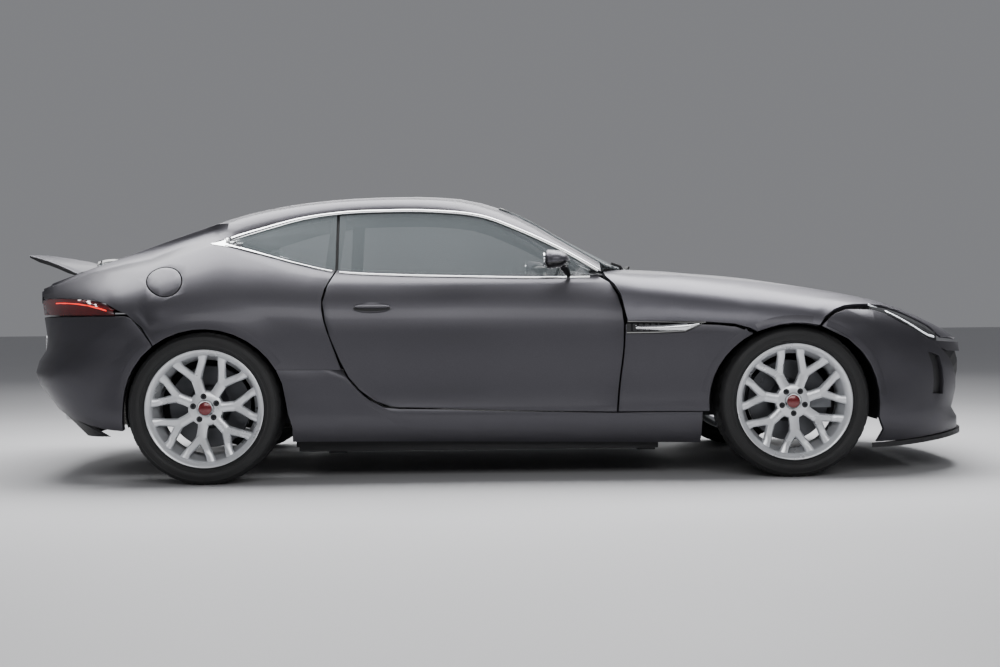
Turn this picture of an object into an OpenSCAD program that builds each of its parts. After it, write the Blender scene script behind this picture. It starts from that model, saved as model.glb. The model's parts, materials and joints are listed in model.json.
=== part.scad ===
// Two-seat fastback coupe, full size, in millimetres.
// +X points to the nose, +Y to the left side, +Z up; the ground is Z = 0 and
// the origin lies below the middle of the car's overall box.

/* [Overall] */
// Overall length
body_length = 4470; // [4000:10:5200]
// Width over the rear wheel arches
body_width = 1923; // [1700:1:2250]
// Height to the top of the roof
body_height = 1312; // [1150:1:1600]
// Distance between the axles
wheelbase = 2622; // [2400:1:3000]

/* [Wheels] */
// Distance between the front tyre centres
track_front = 1585; // [1400:1:1800]
// Distance between the rear tyre centres
track_rear = 1627; // [1450:1:1850]
// Outside diameter of the front tyres
tyre_front_d = 678; // [560:1:700]
// Outside diameter of the rear tyres
tyre_rear_d = 675; // [560:1:700]
// Width of the front tyres
tyre_front_w = 245; // [195:5:265]
// Width of the rear tyres
tyre_rear_w = 275; // [205:5:305]
// Diameter of the rim's outer lip
rim_lip_d = 523; // [430:1:540]
// Diameter of the circle through the wheel bolts
bolt_circle = 108; // [98:1:130]
// Number of Y-shaped spokes
spokes = 7; // [5:1:9]
// Diameter of the brake discs
disc_d = 355; // [280:1:370]

/* [Panels] */
// Gap between a moving panel and its neighbours
panel_gap = 5.6; // [5:0.1:9]
// Gap between two fixed panels
seam = 0.8; // [0.5:0.1:3]
// Thickness of the fixed outer panels
skin = 20; // [12:1:30]
// Thickness of the roof and the tailgate
lid_skin = 26; // [15:1:35]
// Thickness of the doors
door_depth = 105; // [70:1:130]
// Thickness of the glass
glass = 6; // [4:0.5:10]

// Gap at the front edge of each door, where it swings past the wing
hinge_gap = 7.4; // [7:0.1:10]
// Play between pieces that sit on each other
fit = 0.3; // [0.2:0.05:0.6]

/* [Cabin] */
// Height of the cabin floor above the ground
floor_z = 150; // [120:1:200]
// Thickness of the floor
floor_t = 30; // [15:1:60]
// Width of the tunnel between the seats
tunnel_w = 300; // [220:1:380]
// Diameter of the steering wheel
steering_wheel_d = 370; // [320:1:400]

/* [Hidden] */

// ---- the body's lines are drawn at this size and stretched to the sizes above
drawn_length = 4470;
drawn_width = 1923;
drawn_height = 1312;
drawn_axle_front = 1291;
drawn_axle_rear = -1331;
drawn_tyre_d = 678;
arch_zone = 420;
belt_zone = 700;
overhang_shift = 20;
axle_front = wheelbase / 2 - overhang_shift;
axle_rear = -wheelbase / 2 - overhang_shift;
hub_front_z = tyre_front_d / 2;
hub_rear_z = tyre_rear_d / 2;
tyre_k = tyre_front_d / drawn_tyre_d;
// drawn x -> real x: each arch keeps to its tyre, the rest stretches in between
x_map = [
    [-drawn_length / 2, -body_length / 2],
    [drawn_axle_rear - arch_zone, axle_rear - arch_zone * tyre_k],
    [drawn_axle_rear + arch_zone, axle_rear + arch_zone * tyre_k],
    [drawn_axle_front - arch_zone, axle_front - arch_zone * tyre_k],
    [drawn_axle_front + arch_zone, axle_front + arch_zone * tyre_k],
    [drawn_length / 2, body_length / 2]
];
// drawn z -> real z: below the arch tops with the tyre, above them with the height
z_map = [[0, 0], [belt_zone, belt_zone * tyre_k], [drawn_height, body_height]];
function px(x) = lookup(x, x_map);
function py(y) = y * body_width / drawn_width;
function pz(z) = lookup(z, z_map);

paint = "#5c5b60";
paint_light = "#8d8c92";
black = "#17171a";
dark = "#2a2a2d";
metal = "#b9bbc0";
glass_tint = "#3b4347";

rim_front_w = tyre_front_w - 20;
rim_rear_w = tyre_rear_w - 20;
rocker_y = 800 * body_width / drawn_width;
post_y = 860 * body_width / drawn_width;

// ---- curves
function clamp(v, lo, hi) = min(max(v, lo), hi);
function mix(a, b, t) = a + (b - a) * t;
function smooth(t) = let (c = clamp(t, 0, 1)) c * c * (3 - 2 * c);
// interval of the knots k = [[x, value], ...] that holds x
function knot(k, x, i = 0) = i >= len(k) - 2 || x < k[i + 1][0] ? i : knot(k, x, i + 1);
function chord(k, i) = (k[i + 1][1] - k[i][1]) / (k[i + 1][0] - k[i][0]);
function slope(k, i) = i <= 0 ? chord(k, 0) : i >= len(k) - 1 ? chord(k, len(k) - 2)
    : (k[i + 1][1] - k[i - 1][1]) / (k[i + 1][0] - k[i - 1][0]);
// smooth curve through the knots
function curve(k, x) =
    let (i = knot(k, x), h = k[i + 1][0] - k[i][0], t = clamp((x - k[i][0]) / h, 0, 1))
    k[i][1] * (1 + 2 * t) * (1 - t) * (1 - t) + k[i + 1][1] * t * t * (3 - 2 * t)
    + slope(k, i) * h * t * (1 - t) * (1 - t) - slope(k, i + 1) * h * t * t * (1 - t);
// points -> knots spaced by the distance along them, 0 to 1
function lengths(p, i = 0, s = 0) = i >= len(p) - 1 ? [s]
    : concat([s], lengths(p, i + 1, s + norm(p[i + 1] - p[i])));
function route(p) = let (s = lengths(p), n = len(p) - 1) [for (i = [0:n]) [s[i] / s[n], p[i]]];
function steps(n) = [for (i = [0:n]) i / n];
function cubic(a, b, c, d, t) = a * pow(1 - t, 3) + b * 3 * t * pow(1 - t, 2)
    + c * 3 * t * t * (1 - t) + d * pow(t, 3);
// drawn place -> real place
function place(p) = [px(p.x), py(p.y), pz(p.z)];

// ---- solids between two grids of points with the same rows and columns
function held(keep, i, j) = i >= 0 && j >= 0 && i < len(keep) && j < len(keep[0]) && keep[i][j];
module between(outer, inner, keep = undef) {
    nu = len(outer);
    nv = len(outer[0]);
    n = nu * nv;
    k = keep == undef ? [for (i = [0:nu - 2]) [for (j = [0:nv - 2]) true]] : keep;
    points = concat([for (row = outer) each row], [for (row = inner) each row]);
    faces = [for (i = [0:nu - 2]) for (j = [0:nv - 2]) if (k[i][j])
        let (a = i * nv + j, b = a + nv, c = b + 1, d = a + 1)
        each concat(
            [[a, c, b], [a, d, c], [n + a, n + b, n + c], [n + a, n + c, n + d]],
            held(k, i, j - 1) ? [] : [[a, n + b, n + a], [a, b, n + b]],
            held(k, i, j + 1) ? [] : [[c, n + d, n + c], [c, d, n + d]],
            held(k, i - 1, j) ? [] : [[d, n + a, n + d], [d, a, n + a]],
            held(k, i + 1, j) ? [] : [[b, n + c, n + b], [b, c, n + c]])];
    polyhedron(points = points, faces = faces, convexity = 6);
}
// outward normals of a grid, and the grid moved inwards by a depth
function unit(v) = v / max(norm(v), 1e-6);
function normal(g, i, j) = unit(cross(
    g[min(i + 1, len(g) - 1)][j] - g[max(i - 1, 0)][j],
    g[i][min(j + 1, len(g[0]) - 1)] - g[i][max(j - 1, 0)]));
function sunk(g, depth) = [for (i = [0:len(g) - 1]) [for (j = [0:len(g[0]) - 1])
    g[i][j] - normal(g, i, j) * depth]];
function moved(g, by) = [for (row = g) [for (p = row) p + by]];

// ---- side of the body: half width at each drawn x and z
nose_x = [[150, 2150], [176, 2206], [218, 2220], [256, 2184], [294, 2180], [355, 2206],
    [434, 2229], [514, 2235], [566, 2218], [610, 2186], [685, 2080], [742, 1950], [806, 1750],
    [840, 1600]];
tail_x = [[200, 2010], [251, 2050], [325, 2117], [433, 2203], [484, 2220], [539, 2206],
    [594, 2168], [649, 2160], [732, 2172], [824, 2182], [875, 2176], [930, 2120]];
waist = [[-1331, 954.5], [-1150, 950], [-950, 938], [-700, 918], [-300, 901], [100, 896],
    [500, 902], [850, 915], [1100, 929], [1291, 933]];
tuck = [[100, 110], [160, 66], [200, 38], [250, 20], [300, 10], [370, 19], [470, 18], [580, 7],
    [660, 0], [680, 0]];
turn_z = [[-2200, 720], [-900, 700], [-469, 665], [430, 645]];
// top of the side: drawn y and z where the side meets the windows or the tailgate
top_yz = [[-2200, [610, 880]], [-2100, [602, 893]], [-1900, [588, 972]], [-1700, [570, 1035]],
    [-1500, [560, 1102]], [-1350, [560, 1146]], [-1268, [585, 1150]], [-1174, [630, 1110]],
    [-1049, [690, 1060]], [-916, [745, 1000]], [-760, [775, 955]], [-469, [785, 935]],
    [-155, [790, 925]], [137, [790, 920]], [430, [775, 925]], [600, [770, 920]]];
roll = [[-1350, 2.0], [-900, 2.2], [-469, 2.6], [430, 2.6]];
front_round = 3;
rear_round = 3.3;
arch_flare = 7;

function half_width(x, z) =
    x > drawn_axle_front
    ? waist[len(waist) - 1][1] * pow(max(1 - pow((x - drawn_axle_front)
        / (curve(nose_x, z) - drawn_axle_front), front_round), 0), 1 / front_round)
    : x < drawn_axle_rear
    ? waist[0][1] * pow(max(1 - pow((drawn_axle_rear - x)
        / (curve(tail_x, z) + drawn_axle_rear), rear_round), 0), 1 / rear_round)
    : curve(waist, x);
function arch_at(x) = x > 0 ? [drawn_axle_front, 338] : [drawn_axle_rear, 338];
function flare(x, z) = arch_flare * smooth((430 - norm([x, z] - arch_at(x))) / 30);
function side_y(x, z) =
    let (w = half_width(x, z), t = curve(top_yz, x), zs = curve(turn_z, x),
        drop = z <= zs ? 0
            : (w - t[0]) * pow((z - zs) / (t[1] - zs), curve(roll, x)))
    (w + flare(x, z) * w / 950) * (1 - curve(tuck, z) / 930) - max(drop, 0);

// ---- front of the body: cross-sections from the side over to the middle
bonnet_z = [[400, 950], [640, 941], [788, 930], [958, 916], [1176, 896], [1346, 873], [1540, 842],
    [1750, 798], [1950, 728], [2080, 668], [2150, 632], [2188, 610]];
edge_z = [[400, 655], [1400, 655], [1700, 640], [1900, 600], [2050, 572], [2188, 560]];
shoulder_y = [[400, 0.885], [800, 0.80], [1291, 0.70], [1700, 0.66], [2188, 0.60]];
shoulder_z = [[400, 1.10], [800, 1.0], [1291, 0.92], [1700, 0.88], [2188, 0.85]];
function section(x, a) =
    let (z0 = curve(edge_z, x), y0 = side_y(x, z0), zc = curve(bonnet_z, x))
    cubic([y0, z0], [y0 + 12, mix(z0, zc, curve(shoulder_z, x))],
        [y0 * curve(shoulder_y, x), zc + 5], [0, zc], a);
function section_at(x, z, lo = 0, hi = 1, n = 16) = n == 0 ? (lo + hi) / 2
    : section(x, (lo + hi) / 2)[1] < z ? section_at(x, z, (lo + hi) / 2, hi, n - 1)
    : section_at(x, z, lo, (lo + hi) / 2, n - 1);
// power bulge along the middle and the crest over each wheel
function bulge(x, y) = smooth((x - 640) / 150) * smooth((2150 - x) / 500)
    * (14 * (1 - smooth((abs(y) - 230) / 130)) + 10 * exp(-pow((abs(y) - 690) / 75, 2)));
function front_point(x, a) = let (s = section(x, a))
    [x, s[0], s[1] + bulge(x, s[0]) * smooth(a / 0.3)];
function front_y(x, z) = z <= curve(edge_z, x) ? side_y(x, z) : section(x, section_at(x, z))[0];

// ---- roof: middle line, half width and crown
roof_z = [[-2176, 876], [-2120, 908], [-2015, 951], [-1919, 991], [-1728, 1057], [-1537, 1124],
    [-1370, 1181], [-1202, 1236], [-963, 1281], [-724, 1304], [-450, 1312], [-300, 1308],
    [-149, 1292], [19, 1243], [141, 1186], [286, 1102], [431, 1025], [552, 962], [650, 938]];
roof_half = [[-2176, 606], [-2100, 602], [-1900, 588], [-1700, 570], [-1500, 556], [-1300, 546],
    [-1000, 540], [-700, 553], [-300, 553], [20, 535], [300, 610], [470, 700]];
function crown(y) = 34 * pow(abs(y) / 600, 2.4);
function roof_point(x, y) = [x, y, curve(roof_z, x) - crown(y)];
function roof_edge(x) = roof_point(x, curve(roof_half, x));

// ---- side window outline: lower edge is the belt, upper edge the rail
belt = [[-1262, 1074], [-1194, 1057], [-1069, 1022], [-936, 985], [-760, 946], [-469, 928],
    [-155, 919], [137, 912], [430, 914]];
rail = [[-1262, 1086], [-1222, 1103], [-1108, 1138], [-926, 1187], [-744, 1213], [-562, 1221],
    [-334, 1219], [-106, 1194], [76, 1125], [259, 1036], [441, 929]];
rail_y = [[-1268, 690], [-1108, 665], [-926, 645], [-744, 638], [-562, 638], [-334, 645],
    [-106, 665], [76, 700], [259, 745], [441, 790]];
window_rear = -1262;
// window glass: t = 0 at the belt, 1 at the rail
function window_point(x, t) =
    let (a = [side_y(x, curve(belt, x)) - 4, curve(belt, x)],
        b = [curve(rail_y, x), curve(rail, x)], p = mix(a, b, t))
    [x, p[0] + 14 * t * (1 - t), p[1]];

// ---- shut lines, as drawn [x, z] points on the side
door_front = [[494, 303], [505, 424], [524, 579], [528, 690], [511, 800], [472, 880], [414, 914]];
door_rear = [[-471, 333], [-537, 342], [-625, 391], [-699, 472], [-754, 591], [-793, 702],
    [-809, 799], [-795, 865], [-752, 945]];
door_foot = [[-471, 333], [0, 315], [494, 303]];
arch_front_a = 385;
arch_front_h = 356;
arch_rear_a = 360;
arch_rear_h = 352;
arch_mid = 338;
function arch_point(xc, a, h, angle) = [xc + a * cos(angle), arch_mid + h * sin(angle)];
function arc_points(xc, a, h, from, to, n) =
    [for (i = [0:n]) arch_point(xc, a, h, mix(from, to, i / n))];

// ---- grids
function even(points, n) = let (r = route(points)) [for (i = [0:n]) curve(r, i / n)];
// grid filled in between four rows of points
function fill(b, t, l, r) = let (n = len(b) - 1, m = len(l) - 1)
    [for (i = [0:n]) [for (j = [0:m]) let (u = i / n, v = j / m)
        b[i] * (1 - v) + t[i] * v + l[j] * (1 - u) + r[j] * u - b[0] * (1 - u) * (1 - v)
        - b[n] * u * (1 - v) - t[0] * (1 - u) * v - t[n] * u * v]];
function shifted(points, by) = [for (p = points) p + by];
function reversed(list) = [for (i = [len(list) - 1:-1:0]) list[i]];
function mirrored(row) = [for (p = row) [p.x, -p.y, p.z]];
function on_side(g) = [for (row = g) [for (p = row) place([p[0], side_y(p[0], p[1]), p[1]])]];
function on_front(g) = [for (row = g) [for (p = row) place([p[0], front_y(p[0], p[1]), p[1]])]];
module both_sides() {
    children();
    mirror([0, 1, 0]) children();
}

// ---- left half grids of the outer panels
// body side: the rail over the door, then the rear quarter round the wheel arch
quarter_foot = concat([[-726 - panel_gap, 502], [-870, 504]],
    arc_points(drawn_axle_rear, arch_rear_a, arch_rear_h, 28.5, 127, 10),
    [[-1595, 697], [-1664, 757], [-1712, 777], [-1765, 806], [-1840, 823], [-1940, 829],
        [-2035, 830], [-2113, 830]]);
tip = 6;
last = len(quarter_foot) - 1;
rail_columns = 13;
low_rows = 8;
window_rows = 2;
rail_rows = 3;
all_rows = low_rows + window_rows + rail_rows;
gate_gap = panel_gap;
function quarter_top_x(i) = i <= tip ? mix(-759, window_rear, i / tip)
    : mix(window_rear, -2113, (i - tip) / (last - tip));
function outer_edge(x) = let (e = roof_edge(x)) [x, e.y + gate_gap, e.z - 1];
function rail_point(x, t) =
    let (a = [x, curve(rail_y, x), curve(rail, x)], e = outer_edge(x),
        c = [x, mix(a.y, e.y, 0.3), mix(a.z, e.z, 0.8)])
    a * (1 - t) * (1 - t) + c * 2 * t * (1 - t) + e * t * t;
// share of the height at each row behind the window, easing from the tip to even rows
function tip_share(j) =
    let (z0 = quarter_foot[tip][1], z1 = outer_edge(window_rear).z,
        zb = curve(belt, window_rear), zr = curve(rail, window_rear),
        z = j <= low_rows ? mix(z0, zb, j / low_rows)
            : j <= low_rows + window_rows ? mix(zb, zr, (j - low_rows) / window_rows)
            : rail_point(window_rear, (j - low_rows - window_rows) / rail_rows).z)
    (z - z0) / (z1 - z0);
function quarter_share(i, j) = mix(tip_share(j), j / all_rows, 0.85 * smooth((i - tip) / 9));
function quarter_low() =
    let (foot = [for (i = [0:tip]) quarter_foot[i]],
        top = [for (i = [0:tip]) let (x = quarter_top_x(i)) [x, curve(belt, x)]],
        rear = even([for (p = door_rear) if (p[1] > 480) p - [panel_gap + 2, 0]], low_rows),
        end = [for (j = [0:low_rows]) mix(foot[tip], top[tip], j / low_rows)],
        front = [for (j = [0:low_rows]) j == 0 ? foot[0] : j == low_rows ? top[0] : rear[j]])
    fill(foot, top, front, end);
body_side_grid =
    let (low = quarter_low())
    concat(
        [for (i = [0:rail_columns - 1]) let (x = mix(436, -759, i / rail_columns))
            [for (j = [0:all_rows]) place(rail_point(x,
                max(j - low_rows - window_rows, 0) / rail_rows))]],
        [for (i = [0:last]) let (x = quarter_top_x(i))
            [for (j = [0:all_rows])
                i <= tip
                ? (j <= low_rows ? place([low[i][j][0], side_y(low[i][j][0], low[i][j][1]), low[i][j][1]])
                    : j <= low_rows + window_rows
                    ? place(mix([x, side_y(x, curve(belt, x)), curve(belt, x)], rail_point(x, 0),
                        (j - low_rows) / window_rows))
                    : place(rail_point(x, (j - low_rows - window_rows) / rail_rows)))
                : let (e = outer_edge(x), f = quarter_foot[i], s = quarter_share(i, j),
                    q = [mix(f[0], x, s), mix(f[1], e.z, s)],
                    y = mix(side_y(q[0], q[1]), e.y, smooth((s - 0.8) / 0.2)))
                    place([q[0], y, q[1]])]]);
// the side's wall is pressed straight in at its lower edge and straight down at the roof
function side_wall(g, i, j) = let (s = smooth((j - low_rows) / (all_rows - low_rows - 1)))
    unit(mix([0, 1, 0], [0, 0, 1], i <= rail_columns + tip ? s : smooth((j - 5) / (all_rows - 6))));
body_side_inner = [for (i = [0:len(body_side_grid) - 1]) [for (j = [0:all_rows])
    body_side_grid[i][j] - side_wall(body_side_grid, i, j) * skin]];
body_side_keep = [for (i = [0:len(body_side_grid) - 2]) [for (j = [0:all_rows - 1])
    j >= low_rows + window_rows || (i >= rail_columns && j < low_rows)
    || i >= rail_columns + tip]];

// door
door_columns = 14;
door_rows = 10;
door_flange = 8;
function door_outline(n, m) = fill(
    even(reversed(door_foot), n),
    even([for (i = [0:6]) let (x = mix(414, -752, i / 6)) [x, curve(belt, x)]], n),
    even(door_front, m), even(door_rear, m));
door_u = concat([0, 0.11, 0.12], [for (i = [1:door_columns - 4]) mix(0.12, 0.97, i / (door_columns - 4))],
    [0.98, 1]);
door_v = concat([0], [for (i = [0:door_rows - 1]) mix(0.05, 1, i / (door_rows - 1))]);

// bonnet: lower edge from the headlamp tip to the door
bonnet_foot = concat([[2003, 622], [1942, 670], [1880, 702], [1800, 738], [1719, 763],
    [1640, 772], [1572, 773], [1520, 769], [1465, 752], [1420, 722]],
    arc_points(drawn_axle_front, arch_front_a, arch_front_h, 75, 118, 5),
    [[1080, 672], [1010, 692], [880, 702], [760, 705], [650, 707], [528 + hinge_gap, 708]]);
bonnet_rows = 12;
function by_height(p) = [p[0], section_at(p[0], p[1])];
function section_at_y(x, y, lo = 0.12, hi = 1, n = 16) = n == 0 ? (lo + hi) / 2
    : section(x, (lo + hi) / 2)[0] > y ? section_at_y(x, y, (lo + hi) / 2, hi, n - 1)
    : section_at_y(x, y, lo, (lo + hi) / 2, n - 1);
function scuttle_x(y) = 672 - 236 * pow(abs(y) / 765, 2.2);
bonnet_nose = [[2003, 622], [2060, 617], [2110, 613], [2150, 611]];
bonnet_grid =
    let (foot = [for (p = bonnet_foot) by_height(p)],
        n = len(foot) - 1,
        middle = [for (i = [0:n]) [mix(2186, 672, i / n), 1]],
        nose = even(concat([for (p = bonnet_nose) by_height(p)], [[2186, 1]]), bonnet_rows),
        back = even(concat(
            [for (p = door_front) if (p[1] >= 690 && p[1] < 900)
                by_height([p[0] + hinge_gap + 10, max(p[1], 708)])],
            [for (y = [745, 640, 480, 320, 160]) [scuttle_x(y), section_at_y(scuttle_x(y), y)]],
            [[672, 1]]), bonnet_rows),
        half = [for (row = fill(foot, middle, nose, back))
            [for (q = row) place(front_point(q[0], q[1]))]])
    [for (row = half) concat(row, reversed([for (j = [0:bonnet_rows - 1])
        [row[j].x, -row[j].y, row[j].z]]))];

// bumpers: drawn from the wheel arch round to the middle, then mirrored
function plan_angle(x, z) = asin(pow(clamp((x - drawn_axle_front)
    / (curve(nose_x, z) - drawn_axle_front), 0, 1), front_round / 2));
function bumper_point(a, z) = let (x = drawn_axle_front + (curve(nose_x, z) - drawn_axle_front)
    * pow(sin(a), 2 / front_round)) [x, a > 89.99 ? 0 : front_y(x, z), z];
function tail_angle(x, z) = asin(pow(clamp((drawn_axle_rear - x)
    / (curve(tail_x, z) + drawn_axle_rear), 0, 1), rear_round / 2));
function tail_point(a, z) = let (x = drawn_axle_rear - (curve(tail_x, z) + drawn_axle_rear)
    * pow(sin(a), 2 / rear_round)) [x, a > 89.99 ? 0 : side_y(x, z), z];
front_columns = 16;
front_rows = 9;
front_bumper_head =
    let (line = [[1406, 678], [1433, 703], [1470, 731], [1521, 748], [1574, 755], [1636, 751],
            [1719, 727], [1790, 690], [1860, 652], [1949, 606], [2008, 595]],
        a0 = plan_angle(2008, 595))
    even(concat([for (p = line) [plan_angle(p[0], p[1]), p[1]]],
        [for (k = [1:4]) [mix(a0, 90, k / 4), mix(595, 581, smooth(k / 4))]]), front_columns);
front_bumper_plan =
    let (foot = [for (i = [0:front_columns]) let (s = i / front_columns)
            [mix(plan_angle(1676, 150), 90, s), mix(150, 184, smooth(s * 1.7))]],
        arch = even([for (p = concat([[1680, 150], [1678, 250]],
            arc_points(drawn_axle_front, arch_front_a, arch_front_h, 0, 72.6, 6)))
                [plan_angle(p[0], p[1]), p[1]]], front_rows),
        middle = [for (j = [0:front_rows]) [90, mix(184, 581, j / front_rows)]])
    fill(foot, front_bumper_head, arch, middle);
// the bumper's wall is pressed level, square to its outline in plan
function bumper_way(a) = unit([pow(sin(a), 4 / 3), pow(cos(a), 4 / 3), 0]);
function bumper_half(depth) = [for (row = front_bumper_plan)
    [for (q = row) place(bumper_point(q[0], q[1])) - depth * bumper_way(q[0])]];
function bumper_at(depth) = let (half = bumper_half(depth))
    concat([for (row = half) mirrored(row)], [for (i = [front_columns - 1:-1:0]) half[i]]);
front_bumper_grid = bumper_at(0);
mouth_columns = 4;
mouth_rows = [1, 7];
vent_columns = [5, 7];
vent_rows = [3, 6];
function mirror_index(i, n) = i < n ? i : 2 * n - 1 - i;
front_bumper_keep = [for (i = [0:2 * front_columns - 1]) [for (j = [0:front_rows - 1])
    let (k = mirror_index(i, front_columns))
    !(k >= front_columns - mouth_columns && j >= mouth_rows[0] && j <= mouth_rows[1])
    && !(k >= vent_columns[0] && k < vent_columns[1] && j >= vent_rows[0] && j < vent_rows[1])]];

rear_columns = 16;
rear_rows = 8;
rear_bumper_half =
    let (foot = concat([[tail_angle(-1691, 240), 240]],
            [for (i = [1:rear_columns]) [mix(tail_angle(-1691, 240), 90, i / rear_columns),
                mix(240, 335, smooth(i / rear_columns * 1.3))]]),
        line = [[-1551.6, 615.6], [-1603, 688], [-1664, 747], [-1720, 751], [-1850, 748],
            [-1960, 746], [-2060, 744]],
        a0 = tail_angle(-2060, 744),
        head = even(concat([for (p = line) [tail_angle(p[0], p[1]), p[1]]],
            [for (k = [1:5]) [mix(a0, 90, k / 5), 744]]), rear_columns),
        arch = even([for (p = concat([[-1694, 240]],
            arc_points(drawn_axle_rear, -arch_rear_a, arch_rear_h, 0, 52.2, 6)))
                [tail_angle(p[0], p[1]), p[1]]], rear_rows),
        middle = [for (j = [0:rear_rows]) [90, mix(335, 744, j / rear_rows)]])
    [for (row = fill(foot, head, arch, middle)) [for (q = row) place(tail_point(q[0], q[1]))]];
rear_bumper_grid = concat(rear_bumper_half,
    [for (i = [rear_columns - 1:-1:0]) mirrored(rear_bumper_half[i])]);

// roof, windscreen and tailgate: rows across the car from left to right
across = 12;
function span(half, n) = [for (j = [0:n]) mix(half, -half, j / n)];
windscreen_grid = [for (t = reversed(steps(8))) [for (s = span(1, across))
    let (x = mix(22 - 38 * s * s, 652 - 182 * s * s, 1 - t), y = s * (curve(roof_half, x) - seam))
    place(roof_point(x, y))]];
roof_rear = -1000;
gate_front_gap = 8.4;
roof_grid = [for (t = steps(10)) [for (s = span(1, across))
    let (x = mix(22 - 38 * s * s - seam, roof_rear + gate_front_gap, t),
        y = s * (curve(roof_half, x) + gate_gap - seam)) place(roof_point(x, y))]];
gate_x = concat([roof_rear, -1062], [for (i = [1:7]) mix(-1062, -1885, i / 7)], [-1946]);
deck_x = [-1953, -2060, -2120];
deck_drop = 34;
spoiler_half = 545;
gate_share = [1, 0.962, 0.94, 0.72, 0.54, 0.36, 0.18, 0, -0.18, -0.36, -0.54, -0.72, -0.94, -0.962, -1];
function tail_edge_x(y, z) = drawn_axle_rear - (curve(tail_x, z) + drawn_axle_rear)
    * pow(1 - pow(abs(y) / waist[0][1], rear_round), 1 / rear_round);
gate_grid = concat(
    [for (x = gate_x) [for (s = gate_share) place(roof_point(x, s * curve(roof_half, x)))]],
    [for (k = [0:len(deck_x) - 1]) [for (s = gate_share)
        let (y = s * (curve(roof_half, deck_x[k]) - (k == 2 ? 12 : 0)), p = roof_point(deck_x[k], y),
            low = abs(s) > 0.95 ? 0 : deck_drop)
        place([mix(p.x, tail_edge_x(y, 850) + 26, k == 2 ? 1 : k == 1 ? 0.4 : 0), y, p.z - low])]],
    [for (z = [846, 834]) [for (s = gate_share) let (y = s * 574) place([tail_edge_x(y, z), y,
        abs(s) > 0.95 && z > 840 ? 862 : z])]]);
gate_glass_rows = [1, 8];
gate_glass_columns = [2, 11];
gate_keep = [for (i = [0:len(gate_grid) - 2]) [for (j = [0:len(gate_share) - 2])
    !(i >= gate_glass_rows[0] && i < gate_glass_rows[1] && j >= gate_glass_columns[0]
        && j <= gate_glass_columns[1])]];

// ---- outer panels
module body_side_left() {
    color(paint) between(body_side_grid, body_side_inner, body_side_keep);
}
flap_x = -1515;
flap_z = 906;
flap_w = 176;
flap_h = 128;
// lean of the side where the flap lies, so that the flap opens square to it
flap_tilt = atan2(60, side_y(flap_x, flap_z - 30) - side_y(flap_x, flap_z + 30));
module flap_cut(grow) {
    translate([px(flap_x), -py(side_y(flap_x, flap_z)), pz(flap_z)]) rotate([flap_tilt, 0, 0])
        translate([0, 0, -90]) linear_extrude(180) offset(delta = grow) scale([1, 1 / sin(flap_tilt)])
            rotate(-24) scale([flap_w / 2, flap_h / 2]) circle(1, $fn = 40);
}
module body_side_right() {
    color(paint) resize([0, 0, 0]) difference() {
        mirror([0, 1, 0]) between(body_side_grid, body_side_inner, body_side_keep);
        flap_cut(0);
    }
}
module fuel_flap() {
    color(paint) resize([0, 0, 0]) intersection() {
        mirror([0, 1, 0]) between(body_side_grid,
            [for (i = [0:len(body_side_grid) - 1]) [for (j = [0:all_rows])
                body_side_grid[i][j] - side_wall(body_side_grid, i, j) * skin / 2]], body_side_keep);
        flap_cut(-panel_gap);
    }
}
sill_head = concat([for (x = [876, 800, 700, 600]) [x, 299]],
    [for (x = [488 + hinge_gap, 340, 180, 0, -160, -320]) [x, curve(door_foot, x) - panel_gap]],
    [[-473, 325], [-547, 333], [-637, 382], [-711, 463], [-730, 502 - seam], [-820, 503 - seam],
        [-920, 504.2 - seam], [-1014, 505.4 - seam]]);
module sills() {
    n = len(sill_head) - 1;
    foot = [for (i = [0:n]) [mix(874, -948, i / n), mix(157, 184, i / n)]];
    arch = even(concat([foot[n], [-947, 260]],
        arc_points(drawn_axle_rear, arch_rear_a, arch_rear_h, 0, 28.5, 2)), 5);
    grid = on_side(fill(foot, sill_head, even([foot[0], sill_head[0]], 5),
        [for (k = [0:5]) k == 5 ? sill_head[n] : arch[k]]));
    inner = [for (row = grid) [for (p = row) [p.x, rocker_y + fit, p.z]]];
    color(paint) both_sides() between(grid, inner);
}
module front_wings() {
    n = 7;
    m = 8;
    foot = even([[902, 302], [494 + hinge_gap, 302]], n);
    head = even(concat([arch_point(drawn_axle_front, arch_front_a, arch_front_h, 119.5)],
        [[1078, 660], [1010, 682], [880, 693], [760, 696], [650, 698], [528 + hinge_gap, 699]]), n);
    arch = even(concat([[906, 302]],
        arc_points(drawn_axle_front, arch_front_a, arch_front_h, 178, 119.5, 6)), m);
    back = even(shifted([for (p = door_front) if (p[1] < 700) p], [hinge_gap, 0]), m);
    grid = on_front(fill(foot, head, arch, back));
    inner = [for (row = grid) [for (p = row) [p.x, post_y + fit, p.z]]];
    color(paint) both_sides() between(grid, inner);
}
module front_bumper() {
    color(paint) between(front_bumper_grid, bumper_at(skin), front_bumper_keep);
}
module rear_bumper() {
    color(paint) between(rear_bumper_grid, sunk(rear_bumper_grid, skin));
}
module roof() {
    color(paint_light) between(roof_grid, moved(roof_grid, [0, 0, -lid_skin]));
}
module windscreen() {
    color(glass_tint) between(windscreen_grid, sunk(windscreen_grid, glass));
}
bonnet_inner = [for (i = [0:len(bonnet_grid) - 1]) [for (j = [0:len(bonnet_grid[0]) - 1])
    bonnet_grid[i][j] - normal(bonnet_grid, i, j) * mix(12, skin, smooth(i / 4))]];
module bonnet() {
    color(paint) between(bonnet_grid, bonnet_inner);
}
module tailgate() {
    color(paint_light) {
        between(gate_grid, moved(gate_grid, [0, 0, -lid_skin]), gate_keep);
        both_sides() spoiler_ears();
    }
}
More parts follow.
